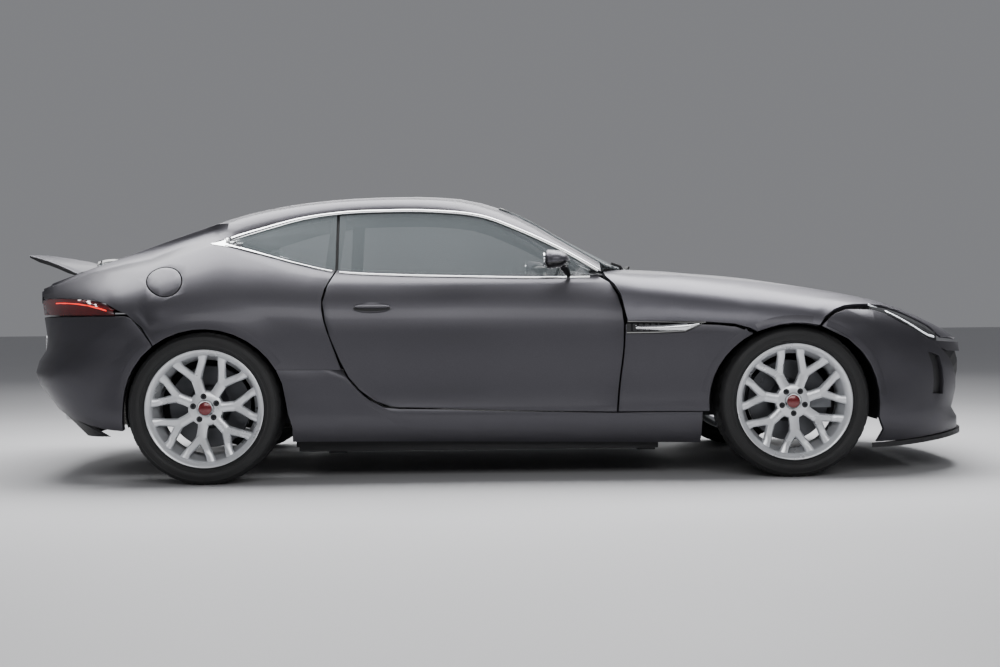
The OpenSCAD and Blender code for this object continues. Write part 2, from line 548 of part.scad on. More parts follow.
module door() {
    outline = door_outline(100, 20);
    outer = [for (u = door_u) [for (v = door_v)
        let (q = outline[round(u * 100)][round(v * 20)])
        place([q[0], side_y(q[0], q[1]), q[1]])]];
    n = len(outer) - 1;
    m = len(outer[0]) - 1;
    inner = [for (i = [0:n]) [for (j = [0:m])
        outer[i][j] - [0, i <= 1 || i >= n - 1 || j <= 1 ? door_flange : door_depth, 0]]];
    between(outer, inner);
}
module door_left() {
    color(paint) {
        door();
        hinge_eye();
    }
}
module door_right() {
    color(paint) mirror([0, 1, 0]) {
        door();
        hinge_eye();
    }
}
// ---- glass
function side_glass(x0, x1, n, m, foot, top) = [for (i = [0:n]) let (x = mix(x0, x1, i / n))
    [for (j = [0:m]) let (a = window_point(x, 0), b = window_point(x, 1))
        place(window_point(x, mix(foot, b[2] - a[2] - top, j / m) / (b[2] - a[2])))]];
module door_window() {
    grid = side_glass(385, -748, 14, 4, 2, 14);
    between(moved(grid, [0, -2, 0]), moved(grid, [0, -2 - glass, 0]));
}
module door_window_left() {
    color(glass_tint) door_window();
}
module door_window_right() {
    color(glass_tint) mirror([0, 1, 0]) door_window();
}
module quarter_windows() {
    grid = side_glass(-762, -1215, 6, 3, 0.8, 9);
    color(glass_tint) both_sides() between(moved(grid, [0, -2, 0]), moved(grid, [0, -2 - glass, 0]));
}
module rear_window() {
    rows = [for (i = [gate_glass_rows[0]:gate_glass_rows[1]])
        [for (j = [gate_glass_columns[0]:gate_glass_columns[1] + 1]) gate_grid[i][j]]];
    color(glass_tint) between(moved(rows, [0, 0, -3]), moved(rows, [0, 0, -3 - glass]));
}
// ---- lamps
// between the bumper's upper edge and the bonnet, from the rear tip forwards
lamp_top = [[1570, 762], [1640, 762], [1719, 753], [1800, 729], [1880, 693], [1942, 661], [2010, 606]];
module headlamps() {
    heads = [for (k = [front_columns:-1:0]) let (h = front_bumper_head[k], q = bumper_point(h[0], h[1]))
        if (q.x > 1590 && q.x < 2010) [q, h[0]]];
    grid = [for (h = heads) let (q = h[0], top = max(curve(lamp_top, q.x), q.z + 2))
        [for (t = steps(3)) let (z = mix(q.z + seam + 1.3, top, t)) place([q.x, front_y(q.x, z), z])]];
    inner = [for (i = [0:len(heads) - 1]) [for (p = grid[i]) p - 12 * bumper_way(heads[i][1])]];
    color(dark) both_sides() between(grid, inner);
}
module tail_lamps() {
    n = 9;
    a1 = 62;
    foot = [for (i = [0:n]) [mix(tail_angle(-1722, 756), a1, i / n), 754]];
    head = [for (i = [0:n]) [mix(tail_angle(-1722, 756), a1, i / n), mix(758, 822, smooth(i / 3.2))]];
    grid = [for (row = fill(foot, head, even([foot[0], head[0]], 3), even([foot[n], head[n]], 3)))
        [for (q = row) place(tail_point(q[0], q[1]))]];
    color("#5a1014") both_sides() between(grid, sunk(grid, 14));
}
module front_grille() {
    k0 = front_columns - mouth_columns;
    back = bumper_at(skin + fit + 8);
    function cells(g, a, b) = [for (i = [a[0]:a[1]]) [for (j = [b[0]:b[1]]) g[i][j]]];
    middle = [k0, 2 * front_columns - k0];
    rows = [mouth_rows[0], mouth_rows[1] + 1];
    sides = vent_columns;
    vents = vent_rows;
    color(black) {
        between(cells(bumper_deep, middle, rows), cells(back, middle, rows));
        both_sides() between(cells(bumper_deep, sides, vents), cells(back, sides, vents));
    }
}
module front_splitter() {
    n = 2 * front_columns;
    top = [for (i = [0:n]) let (p = front_bumper_grid[i][0], k = abs(i - front_columns) / front_columns)
        [p + [mix(22, -4, k), 0, -4.2], p + [-mix(150, 24, k), 0, -4.2]]];
    color(black) between(top, moved(top, [0, 0, -22]));
}
module rear_diffuser() {
    k = 6;
    n = rear_columns * 2;
    grid = [for (i = [k:n - k]) let (p = rear_bumper_grid[i][0] + [4, 0, -0.1],
        s = abs(i - rear_columns) / (rear_columns - k))
        [for (t = steps(4)) [mix(p.x + 130, p.x, t), p.y * mix(0.94, 1, t),
            mix(mix(175, 200, s), p.z, t)]]];
    color(black) resize([0, 0, 0]) difference() {
        between(grid, moved(grid, [skin, 0, 0]));
        for (y = [-tip_y, tip_y]) translate([px(-2200), y, pz(tip_z)]) rotate([0, 90, 0])
            cylinder(h = 300, r = tip_r + 6, $fn = 48);
    }
}
module cowl() {
    // from under the bonnet's rear edge to under the glass
    edge = windscreen_grid[len(windscreen_grid) - 1];
    rear = [for (p = edge) [p.x - 3, p.y * 0.96, p.z - glass - 1.4]];
    front = [for (p = edge) let (y = p.y * 0.96)
        [px(scuttle_x(y) + 24), y, pz(887.3 - 22 * pow(y / 690, 2))]];
    grid = [for (t = steps(3)) [for (j = [0:across]) let (p = mix(front[j], rear[j], t))
        [p.x, p.y, mix(front[j].z, rear[j].z, t * t * t)]]];
    color(black) between(grid, moved(grid, [0, 0, -14]));
}
// ---- structure, in drawn places
module block(x, y, z) {
    translate([px(x[0]), py(y[0]), pz(z[0])])
        cube([px(x[1]) - px(x[0]), py(y[1]) - py(y[0]), pz(z[1]) - pz(z[0])]);
}
cabin_front = 690;
cabin_rear = -930;
rocker_in = 700;
rocker_z = [132, 284];
pad_x = [-760, 640];
module floor_pan() {
    half = tunnel_w / 2;
    length = px(cabin_front) - px(cabin_rear);
    color(dark) {
        translate([px(cabin_rear), 0, 0]) rotate([90, 0, 90]) linear_extrude(length) polygon([
            [py(rocker_in), floor_z - floor_t], [rocker_y, rocker_z[0]], [rocker_y, rocker_z[1]],
            [py(rocker_in) + 20, rocker_z[1]], [py(rocker_in), floor_z], [half, floor_z],
            [half, floor_z + 240], [-half, floor_z + 240], [-half, floor_z], [-py(rocker_in), floor_z],
            [-py(rocker_in) - 20, rocker_z[1]], [-rocker_y, rocker_z[1]], [-rocker_y, rocker_z[0]],
            [-py(rocker_in), floor_z - floor_t], [30 - half, floor_z - floor_t], [30 - half, floor_z + 215],
            [half - 30, floor_z + 215], [half - 30, floor_z - floor_t]]);
        both_sides() for (x = pad_x) translate([px(x) - 40, rocker_y - 90, rocker_z[0] - 12])
            cube([80, 60, 13]);
    }
}
// the bar that carries the front bumper: bottom, top and end, behind its band over the mouth
bumper_deep = bumper_at(skin + fit);
// bottom, top and end of a bar 16 mm high that stops short of the wall between two points
function bar_to(a, b, way) = let (m = mix(a, b, 0.5))
    [m.z - 8, m.z + 8, m.x - way * (fit + 8 * abs((b.x - a.x) / (b.z - a.z)))];
bumper_bar = bar_to(bumper_deep[front_columns][mouth_rows[1] + 1],
    bumper_deep[front_columns][front_rows], 1) - [0, 0, 3];
rear_bumper_deep = sunk(rear_bumper_grid, skin + fit);
rear_bar = bar_to(rear_bumper_deep[rear_columns][4], rear_bumper_deep[rear_columns][5], -1) + [0, 0, 0.6];
// door hinges: a pin on the post, and an eye on the door
hinge_at = [418, 879];
hinge_z = [600, 688];
eye_reach = 39.4;
pin_r = 3.5;
module hinge_arm() {
    for (z = hinge_z) translate([px(hinge_at[0]), py(hinge_at[1]), pz(z)]) {
        translate([0, 0, -20]) cylinder(h = 60, r = pin_r, $fn = 32);
        translate([-5, py(755) - py(hinge_at[1]), -20])
            cube([10, py(hinge_at[1]) - py(755) + 3.5, 14]);
    }
}
module hinge_eye() {
    for (z = hinge_z) translate([px(hinge_at[0]), py(hinge_at[1]), pz(z) - 5]) difference() {
        union() {
            cylinder(h = 40, r = 6.5, $fn = 32);
            translate([-eye_reach, -12, 0]) cube([eye_reach, 10, 40]);
        }
        translate([0, 0, -1]) cylinder(h = 42, r = pin_r + fit, $fn = 32);
    }
}
module bonnet_stop() {
    p = bonnet_inner[6][11];
    translate([p.x, p.y, pz(529)]) cylinder(h = p.z - 2 - pz(529), r = 4, $fn = 24);
}
module front_structure() {
    color(dark) {
        block([cabin_front + 0.6, cabin_front + 25], [-700, 700], [160, 840]);
        both_sides() {
            block([405, 640], [720, 757], [300, 830]);
            translate([px(556), py(699), pz(300)])
                cube([px(700) - px(556), post_y - py(699), pz(690) - pz(300)]);
            block([cabin_front + 24, 2041], [330, 400], [430, 530]);
            bonnet_stop();
            hinge_arm();
        }
        block([2040, 2066], [-520, 520], [330, 560]);
        translate([px(2065), -40, bumper_bar[0]])
            cube([bumper_bar[2] - px(2065), 80, bumper_bar[1] - bumper_bar[0]]);
    }
}
gate_stop = mix(gate_grid[10][4], gate_grid[11][4], 0.4) - [0, 0, lid_skin];
// fuel filler housing behind the flap
module filler() {
    p = place([flap_x, side_y(flap_x, flap_z), flap_z]);
    translate([p.x, -p.y + skin / 2 + 2 * fit + 9.3, p.z]) rotate([-90, 0, 0])
        cylinder(h = 90, r = 6, $fn = 40);
    r = tyre_rear_d / 2 + 38;
    x = axle_rear - 150;
    foot = hub_rear_z + sqrt(r * r - 150 * 150) + 2 * fit;
    translate([x - 60, -p.y + 60, foot]) cube([60, 50, p.z + 10 - foot]);
}
module rear_structure() {
    color(dark) {
        difference() {
            block([cabin_rear - 24.6, cabin_rear - 0.6], [-690, 690], [140, 860]);
            block([cabin_rear - 40, cabin_rear], [-60, 60], [130, 262]);
        }
        both_sides() {
            block([-890, -828], [700, 760], [284.5, 905]);
            block([fit - 2059, cabin_rear - 24.6 - fit], [400, 470], [480, 560]);
            translate([gate_stop.x, gate_stop.y, pz(575) + fit])
                cylinder(h = gate_stop.z - 2 - pz(575) - fit, r = 4, $fn = 24);
        }
        filler();
        block([fit - 2059, cabin_rear - 24.6 - fit], [-470, 470], [560 + fit, 575]);
        block([-2085, -2059], [-520, 520], [440, 735]);
        translate([rear_bar[2], -40, rear_bar[0]])
            cube([px(-2085) - fit - rear_bar[2], 80, rear_bar[1] - rear_bar[0]]);
    }
}
// shell round a wheel, narrower below the seam, with an opening for the axle
module liner(x, r, y, z, seam_z) {
    wall = 4;
    depth = y[1] - y[0];
    translate([x, y[0], z]) rotate([-90, 0, 0]) difference() {
        cylinder(h = depth, r = r + wall, $fn = 64);
        translate([0, 0, wall]) cylinder(h = depth, r = r, $fn = 64);
        translate([0, 0, -1]) cylinder(h = wall + 2, r = 150, $fn = 48);
        translate([-2 * r, 90, -1]) cube([4 * r, 2 * r, depth + 2]);
        translate([-2 * r, z - seam_z, rocker_y - fit - y[0]]) cube([4 * r, 4 * r, depth]);
    }
}
module wheel_arch_liners() {
    color(black) both_sides() {
        liner(axle_front, tyre_front_d / 2 + 66, [py(462), post_y - fit], hub_front_z, pz(301));
        liner(axle_rear, tyre_rear_d / 2 + 34, [py(600), py(885)], hub_rear_z, pz(505));
    }
}
module engine_block() {
    color(metal) translate([px(800), fit - py(330), pz(300)])
        cube([px(1560) - px(800), 2 * (py(330) - fit), pz(740) - pz(300)]);
}
tip_y = 62;
tip_z = 278;
tip_r = 46;
module exhaust() {
    color(metal) {
        both_sides() translate([px(-2150), tip_y, pz(tip_z)]) rotate([0, 90, 0]) difference() {
            cylinder(h = 300, r = tip_r, $fn = 48);
            translate([0, 0, -1]) cylinder(h = 280, r = tip_r - 4, $fn = 48);
        }
        block([-1880, -1560], [-420, 420], [230, 380]);
        translate([px(-1570), 0, pz(250) - 38 - fit]) rotate([0, 90, 0])
            cylinder(h = px(640) - px(-1570), r = 38, $fn = 32);
    }
}
module dashboard() {
    color(dark) {
        translate([0, py(690), 0]) rotate([90, 0, 0]) linear_extrude(py(1380)) polygon([
            [px(cabin_front) + fit, pz(851.5)], [px(470), pz(851.5)], [px(430), pz(872)], [px(390), pz(876)],
            [px(375), pz(800)], [px(430), pz(700)], [px(520), pz(560)], [px(cabin_front) + fit, pz(560)]]);
        translate([px(285), 360, pz(842)]) rotate([0, -68, 0]) translate([0, 0, -125])
            cylinder(h = 95 - fit, r = 30, $fn = 32);
    }
}
seat_y = 390;
module seat() {
    // cushion, back and headrest
    hull() {
        translate([-250, seat_y - 235, floor_z + 60]) cube([440, 470, 110]);
        translate([-200, seat_y - 200, floor_z + 170]) cube([380, 400, 50]);
    }
    translate([-236, seat_y, floor_z + 176]) rotate([0, -20, 0]) hull() {
        translate([-130, -235, 0]) cube([120, 470, 380]);
        translate([-100, -160, 380]) cube([80, 320, 290]);
    }
    for (y = [-200, 140]) translate([-220, seat_y + y, floor_z + fit]) cube([380, 60, 60 - 2 * fit]);
}
module seats() {
    color(dark) both_sides() seat();
}
module centre_console() {
    color(dark) translate([px(-600), -120, floor_z + 240 + fit])
        cube([px(360) - px(-600), 240, 90]);
}
steer_y = track_front / 2 - 88;
module suspension() {
    color(metal) {
        block([-1400, -1262], [-590, 590], [250, 395]);
        both_sides() translate([px(-1360), py(400), pz(394)]) cube([60, 70, pz(480) - fit - pz(394)]);
        both_sides() translate([axle_rear, py(589), hub_rear_z]) rotate([-90, 0, 0]) {
            cylinder(h = track_rear / 2 - py(589) - 84, r = 60, $fn = 48);
            cylinder(h = track_rear / 2 - py(589) + 20, r = hub_bore_r - fit, $fn = 48);
        }
        translate([px(1180), -py(300), 176]) cube([px(1400) - px(1180), 2 * py(300), pz(300) - fit - 176]);
        both_sides() for (a = [[py(299), 176], [py(400) + fit, 450]])
            translate([axle_front - 25, a[0], a[1]]) cube([50, steer_y - a[0] - 24 - fit, 24]);
    }
}
module knuckle() {
    // upright between the ball joints, stub axle and caliper
    translate([axle_front, steer_y, hub_front_z]) {
        translate([0, 0, -170]) cylinder(h = 310, r = 24, $fn = 32);
        rotate([-90, 0, 0]) cylinder(h = 20, r = 60, $fn = 48);
        rotate([-90, 0, 0]) cylinder(h = 108, r = hub_bore_r - fit, $fn = 48);
        translate([0, -8, -34]) cube([100, 26, 68]);
        difference() {
            translate([84, -8, -34]) cube([106, 94, 68]);
            translate([83, disc_in - 6, -35]) cube([disc_d / 2 - 76, 44, 70]);
        }
    }
}
// inner face of the brake disc from the steering axis
disc_in = track_front / 2 - rim_front_w / 2 + 52 - steer_y;
module knuckle_left() {
    color(metal) knuckle();
}
module knuckle_right() {
    color(metal) mirror([0, 1, 0]) knuckle();
}
module steering_wheel() {
    color(black) translate([px(285), 360, pz(842)]) rotate([0, -68, 0]) {
        rotate_extrude($fn = 64) translate([steering_wheel_d / 2 - 15, 0]) circle(15, $fn = 24);
        cylinder(h = 46, r = 60, center = true, $fn = 48);
        for (a = [0, 180, 270]) rotate(a) translate([40, -16, -8])
            cube([steering_wheel_d / 2 - 50, 32, 12]);
        translate([0, 0, -30]) cylinder(h = 20, r = 22, $fn = 32);
    }
}
// ---- mirrors and spoiler
module mirror_body() {
    hull() {
        translate([px(222), py(951), pz(984)]) scale([1.1, 1.35, 0.75]) sphere(52, $fn = 20);
        translate([px(250), py(860), pz(975)]) scale([1.0, 0.9, 0.62]) sphere(46, $fn = 20);
        translate([px(190), py(960), pz(984)]) rotate([0, -90, 0]) cylinder(h = 6, r = 42, $fn = 20);
    }
    hull() {
        translate([px(262), py(850), pz(955)]) sphere(22, $fn = 16);
        translate([px(290), py(side_y(290, 905)) + 7.3, pz(915)]) sphere(12, $fn = 16);
    }
}
module mirror_left() {
    color(paint) mirror_body();
}
module mirror_right() {
    color(paint) mirror([0, 1, 0]) mirror_body();
}
spoiler_x = -1960;
// spoiler hinge: an eye under the blade's front edge, and a pin between two ears on the deck
spoiler_pin = [-1972, 300, 952.2];
module spoiler_eye() {
    translate([px(spoiler_pin.x), py(spoiler_pin.y) - 10, pz(spoiler_pin.z)]) rotate([-90, 0, 0])
        difference() {
            cylinder(h = 20, r = 6, $fn = 32);
            translate([0, 0, -1]) cylinder(h = 22, r = 3 + fit, $fn = 32);
        }
}
module spoiler_ears() {
    foot = mix(gate_grid[10][4].z, gate_grid[11][4].z, 0.13) + fit;
    translate([px(spoiler_pin.x), py(spoiler_pin.y), pz(spoiler_pin.z)]) {
        translate([0, -22, 0]) rotate([-90, 0, 0]) cylinder(h = 44, r = 3, $fn = 32);
        for (y = [-22, 14]) translate([-3, y, foot - pz(spoiler_pin.z)])
            cube([6, 8, pz(spoiler_pin.z) + 3 - foot]);
    }
}
module spoiler() {
    top = [for (t = steps(5)) [for (s = span(1, 12))
        let (x0 = spoiler_x - 14 * s * s, x1 = -2235 + 42 * pow(abs(s), 2.5), x = mix(x0, x1, t),
            y = s * spoiler_half)
        place([x, y, mix(roof_point(x0, y).z + 4, 1045 - 14 * s * s, t) + 8 * sin(180 * t)])]];
    under = [for (i = [0:5]) [for (j = [0:12]) top[i][j] - [0, 0, i == 0 ? 12 : i == 5 ? 10 : 20]]];
    color(paint_light) {
        between(top, under);
        both_sides() spoiler_eye();
    }
}
// ---- wheels
hub_bore_r = 34;
hub_face = -32;
module rim(w) {
    // barrel, spokes, hub and brake disc; z = 0 is the outer lip, the hub lies below it
    r = rim_lip_d / 2;
    rotate([-90, 0, 0]) {
        rotate_extrude($fn = 96) polygon([
            [r - 8, 0], [r, 0], [r, -8], [r - 21, -16], [r - 21, -48], [r - 38, -72],
            [r - 38, 72 - w], [r - 21, 48 - w], [r - 21, 16 - w], [r, 8 - w], [r, -w], [r - 8, -w],
            [r - 29, 12 - w], [r - 29, 52 - w], [r - 46, 76 - w], [r - 46, -68], [r - 29, -44],
            [r - 29, -14]]);
        difference() {
            union() {
                translate([0, 0, hub_face - 28]) cylinder(h = 28, r = 78, $fn = 64);
                intersection() {
                    translate([0, 0, hub_face - 26]) cylinder(h = 26, r = r - 24, $fn = 96);
                    for (k = [0:spokes - 1]) rotate(k * 360 / spokes) translate([0, 0, hub_face - 26])
                        linear_extrude(24) {
                            translate([60, -14]) square([92, 28]);
                            for (s = [-1, 1]) translate([146, 0]) rotate(s * 38)
                                translate([-6, -11]) square([130, 22]);
                        }
                }
                translate([0, 0, -w + 52]) cylinder(h = 32, r = disc_d / 2, $fn = 96);
                translate([0, 0, -w + 52]) cylinder(h = w - 52 + hub_face - 27, r = 72, $fn = 64);
            }
            for (a = [0:72:288]) rotate(a) translate([bolt_circle / 2, 0, hub_face - 14])
                cylinder(h = 30, r = 12, $fn = 24);
            translate([0, 0, -w]) cylinder(h = w + hub_face - 30, r = hub_bore_r, $fn = 64);
        }
    }
}
module tyre(w, d) {
    r = rim_lip_d / 2;
    rotate([-90, 0, 0]) rotate_extrude($fn = 96) polygon([
        [r - 20.7, -34], [r + 0.6, -9], [r + 9, 4], [r + 32, 12], [d / 2 - 34, 11], [d / 2 - 12, 0],
        [d / 2 - 3, -16], [d / 2, -40], [d / 2, 40 - w], [d / 2 - 3, 16 - w], [d / 2 - 12, -w],
        [d / 2 - 34, -11 - w], [r + 32, -12 - w], [r + 9, -4 - w], [r + 0.6, 9 - w],
        [r - 20.7, 34 - w], [r - 10, 50 - w], [r + 22, 34 - w], [r + 22, -34], [r - 10, -50]]);
}
module front_wheel_at() {
    translate([axle_front, track_front / 2 + rim_front_w / 2, hub_front_z]) children();
}
module rear_wheel_at() {
    translate([axle_rear, track_rear / 2 + rim_rear_w / 2, hub_rear_z]) children();
}
module rim_front_left() {
    color(metal) front_wheel_at() rim(rim_front_w);
}
module rim_front_right() {
    color(metal) mirror([0, 1, 0]) front_wheel_at() rim(rim_front_w);
}
module rim_rear_left() {
    color(metal) rear_wheel_at() rim(rim_rear_w);
}
module rim_rear_right() {
    color(metal) mirror([0, 1, 0]) rear_wheel_at() rim(rim_rear_w);
}
module tyre_front_left() {
    color(black) front_wheel_at() tyre(rim_front_w, tyre_front_d);
}
module tyre_front_right() {
    color(black) mirror([0, 1, 0]) front_wheel_at() tyre(rim_front_w, tyre_front_d);
}
module tyre_rear_left() {
    color(black) rear_wheel_at() tyre(rim_rear_w, tyre_rear_d);
}
module tyre_rear_right() {
    color(black) mirror([0, 1, 0]) rear_wheel_at() tyre(rim_rear_w, tyre_rear_d);
}

floor_pan();
front_structure();
rear_structure();
body_side_left();
body_side_right();
sills();
front_wings();
front_bumper();
front_grille();
front_splitter();
rear_bumper();
rear_diffuser();
roof();
windscreen();
quarter_windows();
headlamps();
tail_lamps();
wheel_arch_liners();
cowl();
engine_block();
exhaust();
dashboard();
seats();
centre_console();
suspension();
door_left();
door_right();
door_window_left();
door_window_right();
mirror_left();
mirror_right();
bonnet();
tailgate();
rear_window();
spoiler();
fuel_flap();
steering_wheel();
knuckle_left();
knuckle_right();
rim_front_left();
rim_front_right();
rim_rear_left();
rim_rear_right();
tyre_front_left();
tyre_front_right();
tyre_rear_left();
tyre_rear_right();
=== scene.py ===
import json
import math
import bmesh
import bpy
from mathutils import Matrix, Vector
from mathutils.bvhtree import BVHTree


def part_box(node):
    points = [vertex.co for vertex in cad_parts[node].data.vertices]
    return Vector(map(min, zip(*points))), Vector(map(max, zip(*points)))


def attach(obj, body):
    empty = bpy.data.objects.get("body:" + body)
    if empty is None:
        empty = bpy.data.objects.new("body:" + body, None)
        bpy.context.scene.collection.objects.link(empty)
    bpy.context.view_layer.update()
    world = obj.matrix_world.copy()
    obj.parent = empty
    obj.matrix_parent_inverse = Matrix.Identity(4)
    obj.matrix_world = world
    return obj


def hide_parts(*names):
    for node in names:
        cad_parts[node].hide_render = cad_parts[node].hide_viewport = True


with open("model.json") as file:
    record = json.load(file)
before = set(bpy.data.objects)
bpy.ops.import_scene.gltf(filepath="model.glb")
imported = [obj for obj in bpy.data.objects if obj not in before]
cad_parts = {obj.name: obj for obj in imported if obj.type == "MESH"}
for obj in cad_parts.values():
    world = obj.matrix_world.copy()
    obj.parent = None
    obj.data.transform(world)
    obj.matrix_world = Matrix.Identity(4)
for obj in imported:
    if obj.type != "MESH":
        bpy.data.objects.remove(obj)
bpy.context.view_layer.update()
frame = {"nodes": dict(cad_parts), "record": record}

NODES = frame["nodes"]
SIDES = {"left": 1, "right": -1}
FRONT_AXLE = 1.291
REAR_AXLE = -1.331
ARCH_Z = 0.338


# ---- materials
def linear(code):
    values = [int(code[i:i + 2], 16) / 255 for i in (1, 3, 5)]
    return [c / 12.92 if c <= 0.04045 else ((c + 0.055) / 1.055) ** 2.4 for c in values] + [1]


def add(tree, kind, inputs=None, **settings):
    node = tree.nodes.new("ShaderNode" + kind)
    for key, value in settings.items():
        setattr(node, key, value)
    for key, value in (inputs or {}).items():
        if isinstance(value, bpy.types.NodeSocket):
            tree.links.new(value, node.inputs[key])
        else:
            node.inputs[key].default_value = value
    return node


def start(name):
    material = bpy.data.materials.new(name)
    material.use_nodes = True
    tree = material.node_tree
    tree.nodes.clear()
    return material, tree, add(tree, "TexCoord").outputs["Object"]


def done(tree, surface):
    out = add(tree, "OutputMaterial")
    tree.links.new(surface, out.inputs["Surface"])


def ramp(tree, value, low, high):
    return add(tree, "MapRange", {"Value": value, "From Min": low[0], "From Max": high[0],
                                  "To Min": low[1], "To Max": high[1]}).outputs[0]


def finish(name, base, rough, metal=0.0, patch=(0.5, 0.08), grain=(0.002, 0.1, "Noise"),
           coat=0.0, glow=None, flake=None):
    """A procedural finish: slow colour and roughness change, and a fine grain in metres."""
    material, tree, place = start(name)
    slow = add(tree, "TexNoise", {"Vector": place, "Scale": 1 / patch[0], "Detail": 4.0}).outputs["Fac"]
    dark = [c * (1 - patch[1] * 2) for c in linear(base)[:3]] + [1]
    light = [min(c * (1 + patch[1] * 2), 1) for c in linear(base)[:3]] + [1]
    colour = add(tree, "MixRGB", {"Fac": slow, "Color1": dark, "Color2": light}).outputs[0]
    if grain[2] == "Voronoi":
        fine = add(tree, "TexVoronoi", {"Vector": place, "Scale": 1 / grain[0]}).outputs["Distance"]
    elif grain[2] == "Wave":
        fine = add(tree, "TexWave", {"Vector": place, "Scale": 1 / grain[0],
                                     "Distortion": 1.0}).outputs["Fac"]
    else:
        fine = add(tree, "TexNoise", {"Vector": place, "Scale": 1 / grain[0], "Detail": 2.0}).outputs["Fac"]
    if flake:
        spark = add(tree, "TexVoronoi", {"Vector": place, "Scale": 1 / flake[0]}).outputs["Color"]
        value = add(tree, "SeparateColor", {"Color": spark}).outputs[0]
        lift = ramp(tree, value, (0.0, 1 - flake[1]), (1.0, 1 + flake[1]))
        colour = add(tree, "MixRGB", {"Fac": 1.0, "Color1": colour, "Color2": lift},
                     blend_type="MULTIPLY").outputs[0]
    bump = add(tree, "Bump", {"Height": fine, "Strength": grain[1], "Distance": grain[0] * 0.3})
    inputs = {"Base Color": colour, "Metallic": metal, "IOR": 1.5, "Coat Weight": coat,
              "Coat Roughness": 0.12,
              "Roughness": ramp(tree, slow, (0.3, max(rough - 0.05, 0.02)), (0.7, rough + 0.05)),
              "Normal": bump.outputs[0]}
    if glow:
        inputs.update({"Emission Color": linear(glow[0]), "Emission Strength": glow[1]})
    done(tree, add(tree, "BsdfPrincipled", inputs).outputs[0])
    return material


def glass_finish(name, tint, clear, most):
    """Tinted glass: seen through face on, and mirror-like at a glance."""
    material, tree, place = start(name)
    wave = add(tree, "TexNoise", {"Vector": place, "Scale": 1.5, "Detail": 1.0}).outputs["Fac"]
    bump = add(tree, "Bump", {"Height": wave, "Strength": 0.03, "Distance": 0.01}).outputs[0]
    facing = add(tree, "LayerWeight", {"Blend": 0.35}).outputs["Facing"]
    shade = add(tree, "MixRGB", {"Fac": wave, "Color1": linear(tint), "Color2": linear("#7d868a")}).outputs[0]
    done(tree, add(tree, "BsdfPrincipled", {
        "Base Color": shade, "Roughness": 0.03, "IOR": 1.52, "Normal": bump, "Specular IOR Level": 0.9,
        "Alpha": ramp(tree, facing, (0.0, clear), (0.9, most))}).outputs[0])
    return material


# satin metallic body paint with fine flake and a faint orange peel
PAINT = finish("body_paint_satin", "#4a494e", 0.40, 0.75, (0.8, 0.04), (0.004, 0.04, "Noise"), 0.12,
               flake=(0.0009, 0.14))
# the same paint made lighter on parts seen from above: a painted highlight of the ceiling light
PAINT_TOP_HIGHLIGHT = finish("body_paint_satin_painted_highlight", "#55545a", 0.38, 0.75, (0.8, 0.04), (0.004, 0.04, "Noise"), 0.12,
                   flake=(0.0009, 0.14))
# polished chrome with faint haze
CHROME = finish("polished_chrome", "#e8e9ea", 0.07, 1.0, (0.05, 0.02), (0.01, 0.02, "Noise"))
# gloss black plastic of the mirrors and blades
GLOSS = finish("gloss_black_plastic", "#0c0c0e", 0.10, 0.0, (0.2, 0.05), (0.01, 0.03, "Noise"), 0.6)
# grained black plastic
PLASTIC = finish("grained_black_plastic", "#19191b", 0.55, 0.0, (0.15, 0.10), (0.0012, 0.35, "Voronoi"))
# sealed and dusty metal under the body
UNDER = finish("sealed_underbody", "#1c1c1e", 0.75, 0.1, (0.2, 0.18), (0.004, 0.5, "Noise"))
# near-black sheet standing in for the shade in the door handle's recess: painted shade
RECESS_SHADE = finish("painted_recess_shade", "#0e0e0f", 0.65, 0.0, (0.1, 0.1), (0.001, 0.3, "Noise"))
# tyre rubber, slightly brown and dusty
TYRE = finish("tyre_rubber", "#151516", 0.62, 0.0, (0.08, 0.16), (0.0015, 0.35, "Noise"))
# bright painted alloy of the wheels
ALLOY = finish("silver_painted_alloy", "#dcdee1", 0.30, 0.55, (0.15, 0.03), (0.001, 0.04, "Noise"), 0.4)
# machined brake disc
DISC = finish("turned_brake_disc", "#57585b", 0.32, 1.0, (0.06, 0.12), (0.0012, 0.25, "Wave"))
# cast metal of calipers, knuckles and the engine
CAST = finish("rough_cast_metal", "#8d8f93", 0.55, 0.6, (0.06, 0.10), (0.002, 0.5, "Noise"))
# bolts and dark steel
STEEL = finish("dark_bolt_steel", "#2b2c2f", 0.35, 0.9, (0.02, 0.12), (0.001, 0.2, "Noise"))
# stainless exhaust, tinted by heat
EXHAUST = finish("stainless_exhaust", "#8b8985", 0.25, 1.0, (0.08, 0.12), (0.001, 0.1, "Wave"))
# grained leather of the seats and the steering wheel
LEATHER = finish("grained_leather", "#1e1d1f", 0.48, 0.0, (0.10, 0.10), (0.0016, 0.55, "Voronoi"), 0.08)
# soft trim of the dashboard and console
TRIM = finish("soft_dash_trim", "#202022", 0.62, 0.0, (0.10, 0.08), (0.0010, 0.45, "Voronoi"))
# dark smoked headlamp and its bright signature strip
LENS = finish("smoked_headlamp_lens", "#0d0e11", 0.05, 0.0, (0.06, 0.25), (0.01, 0.02, "Noise"), 1.0)
STRIP = finish("running_light_strip", "#eef2f6", 0.15, 0.0, (0.02, 0.02), (0.003, 0.1, "Noise"), 0.5,
               ("#f3f7ff", 0.7))
# red tail lamp lens and its lit line
TAIL = finish("red_tail_lens", "#4a070a", 0.08, 0.0, (0.04, 0.15), (0.004, 0.12, "Voronoi"), 1.0)
TAIL_LINE = finish("lit_tail_line", "#e8281c", 0.2, 0.0, (0.02, 0.05), (0.003, 0.1, "Noise"), 0.4,
                   ("#ff2a18", 1.4))
# dark red enamel of the wheel centres
ENAMEL = finish("dark_red_enamel", "#6d1119", 0.2, 0.2, (0.01, 0.06), (0.002, 0.05, "Noise"), 0.8)
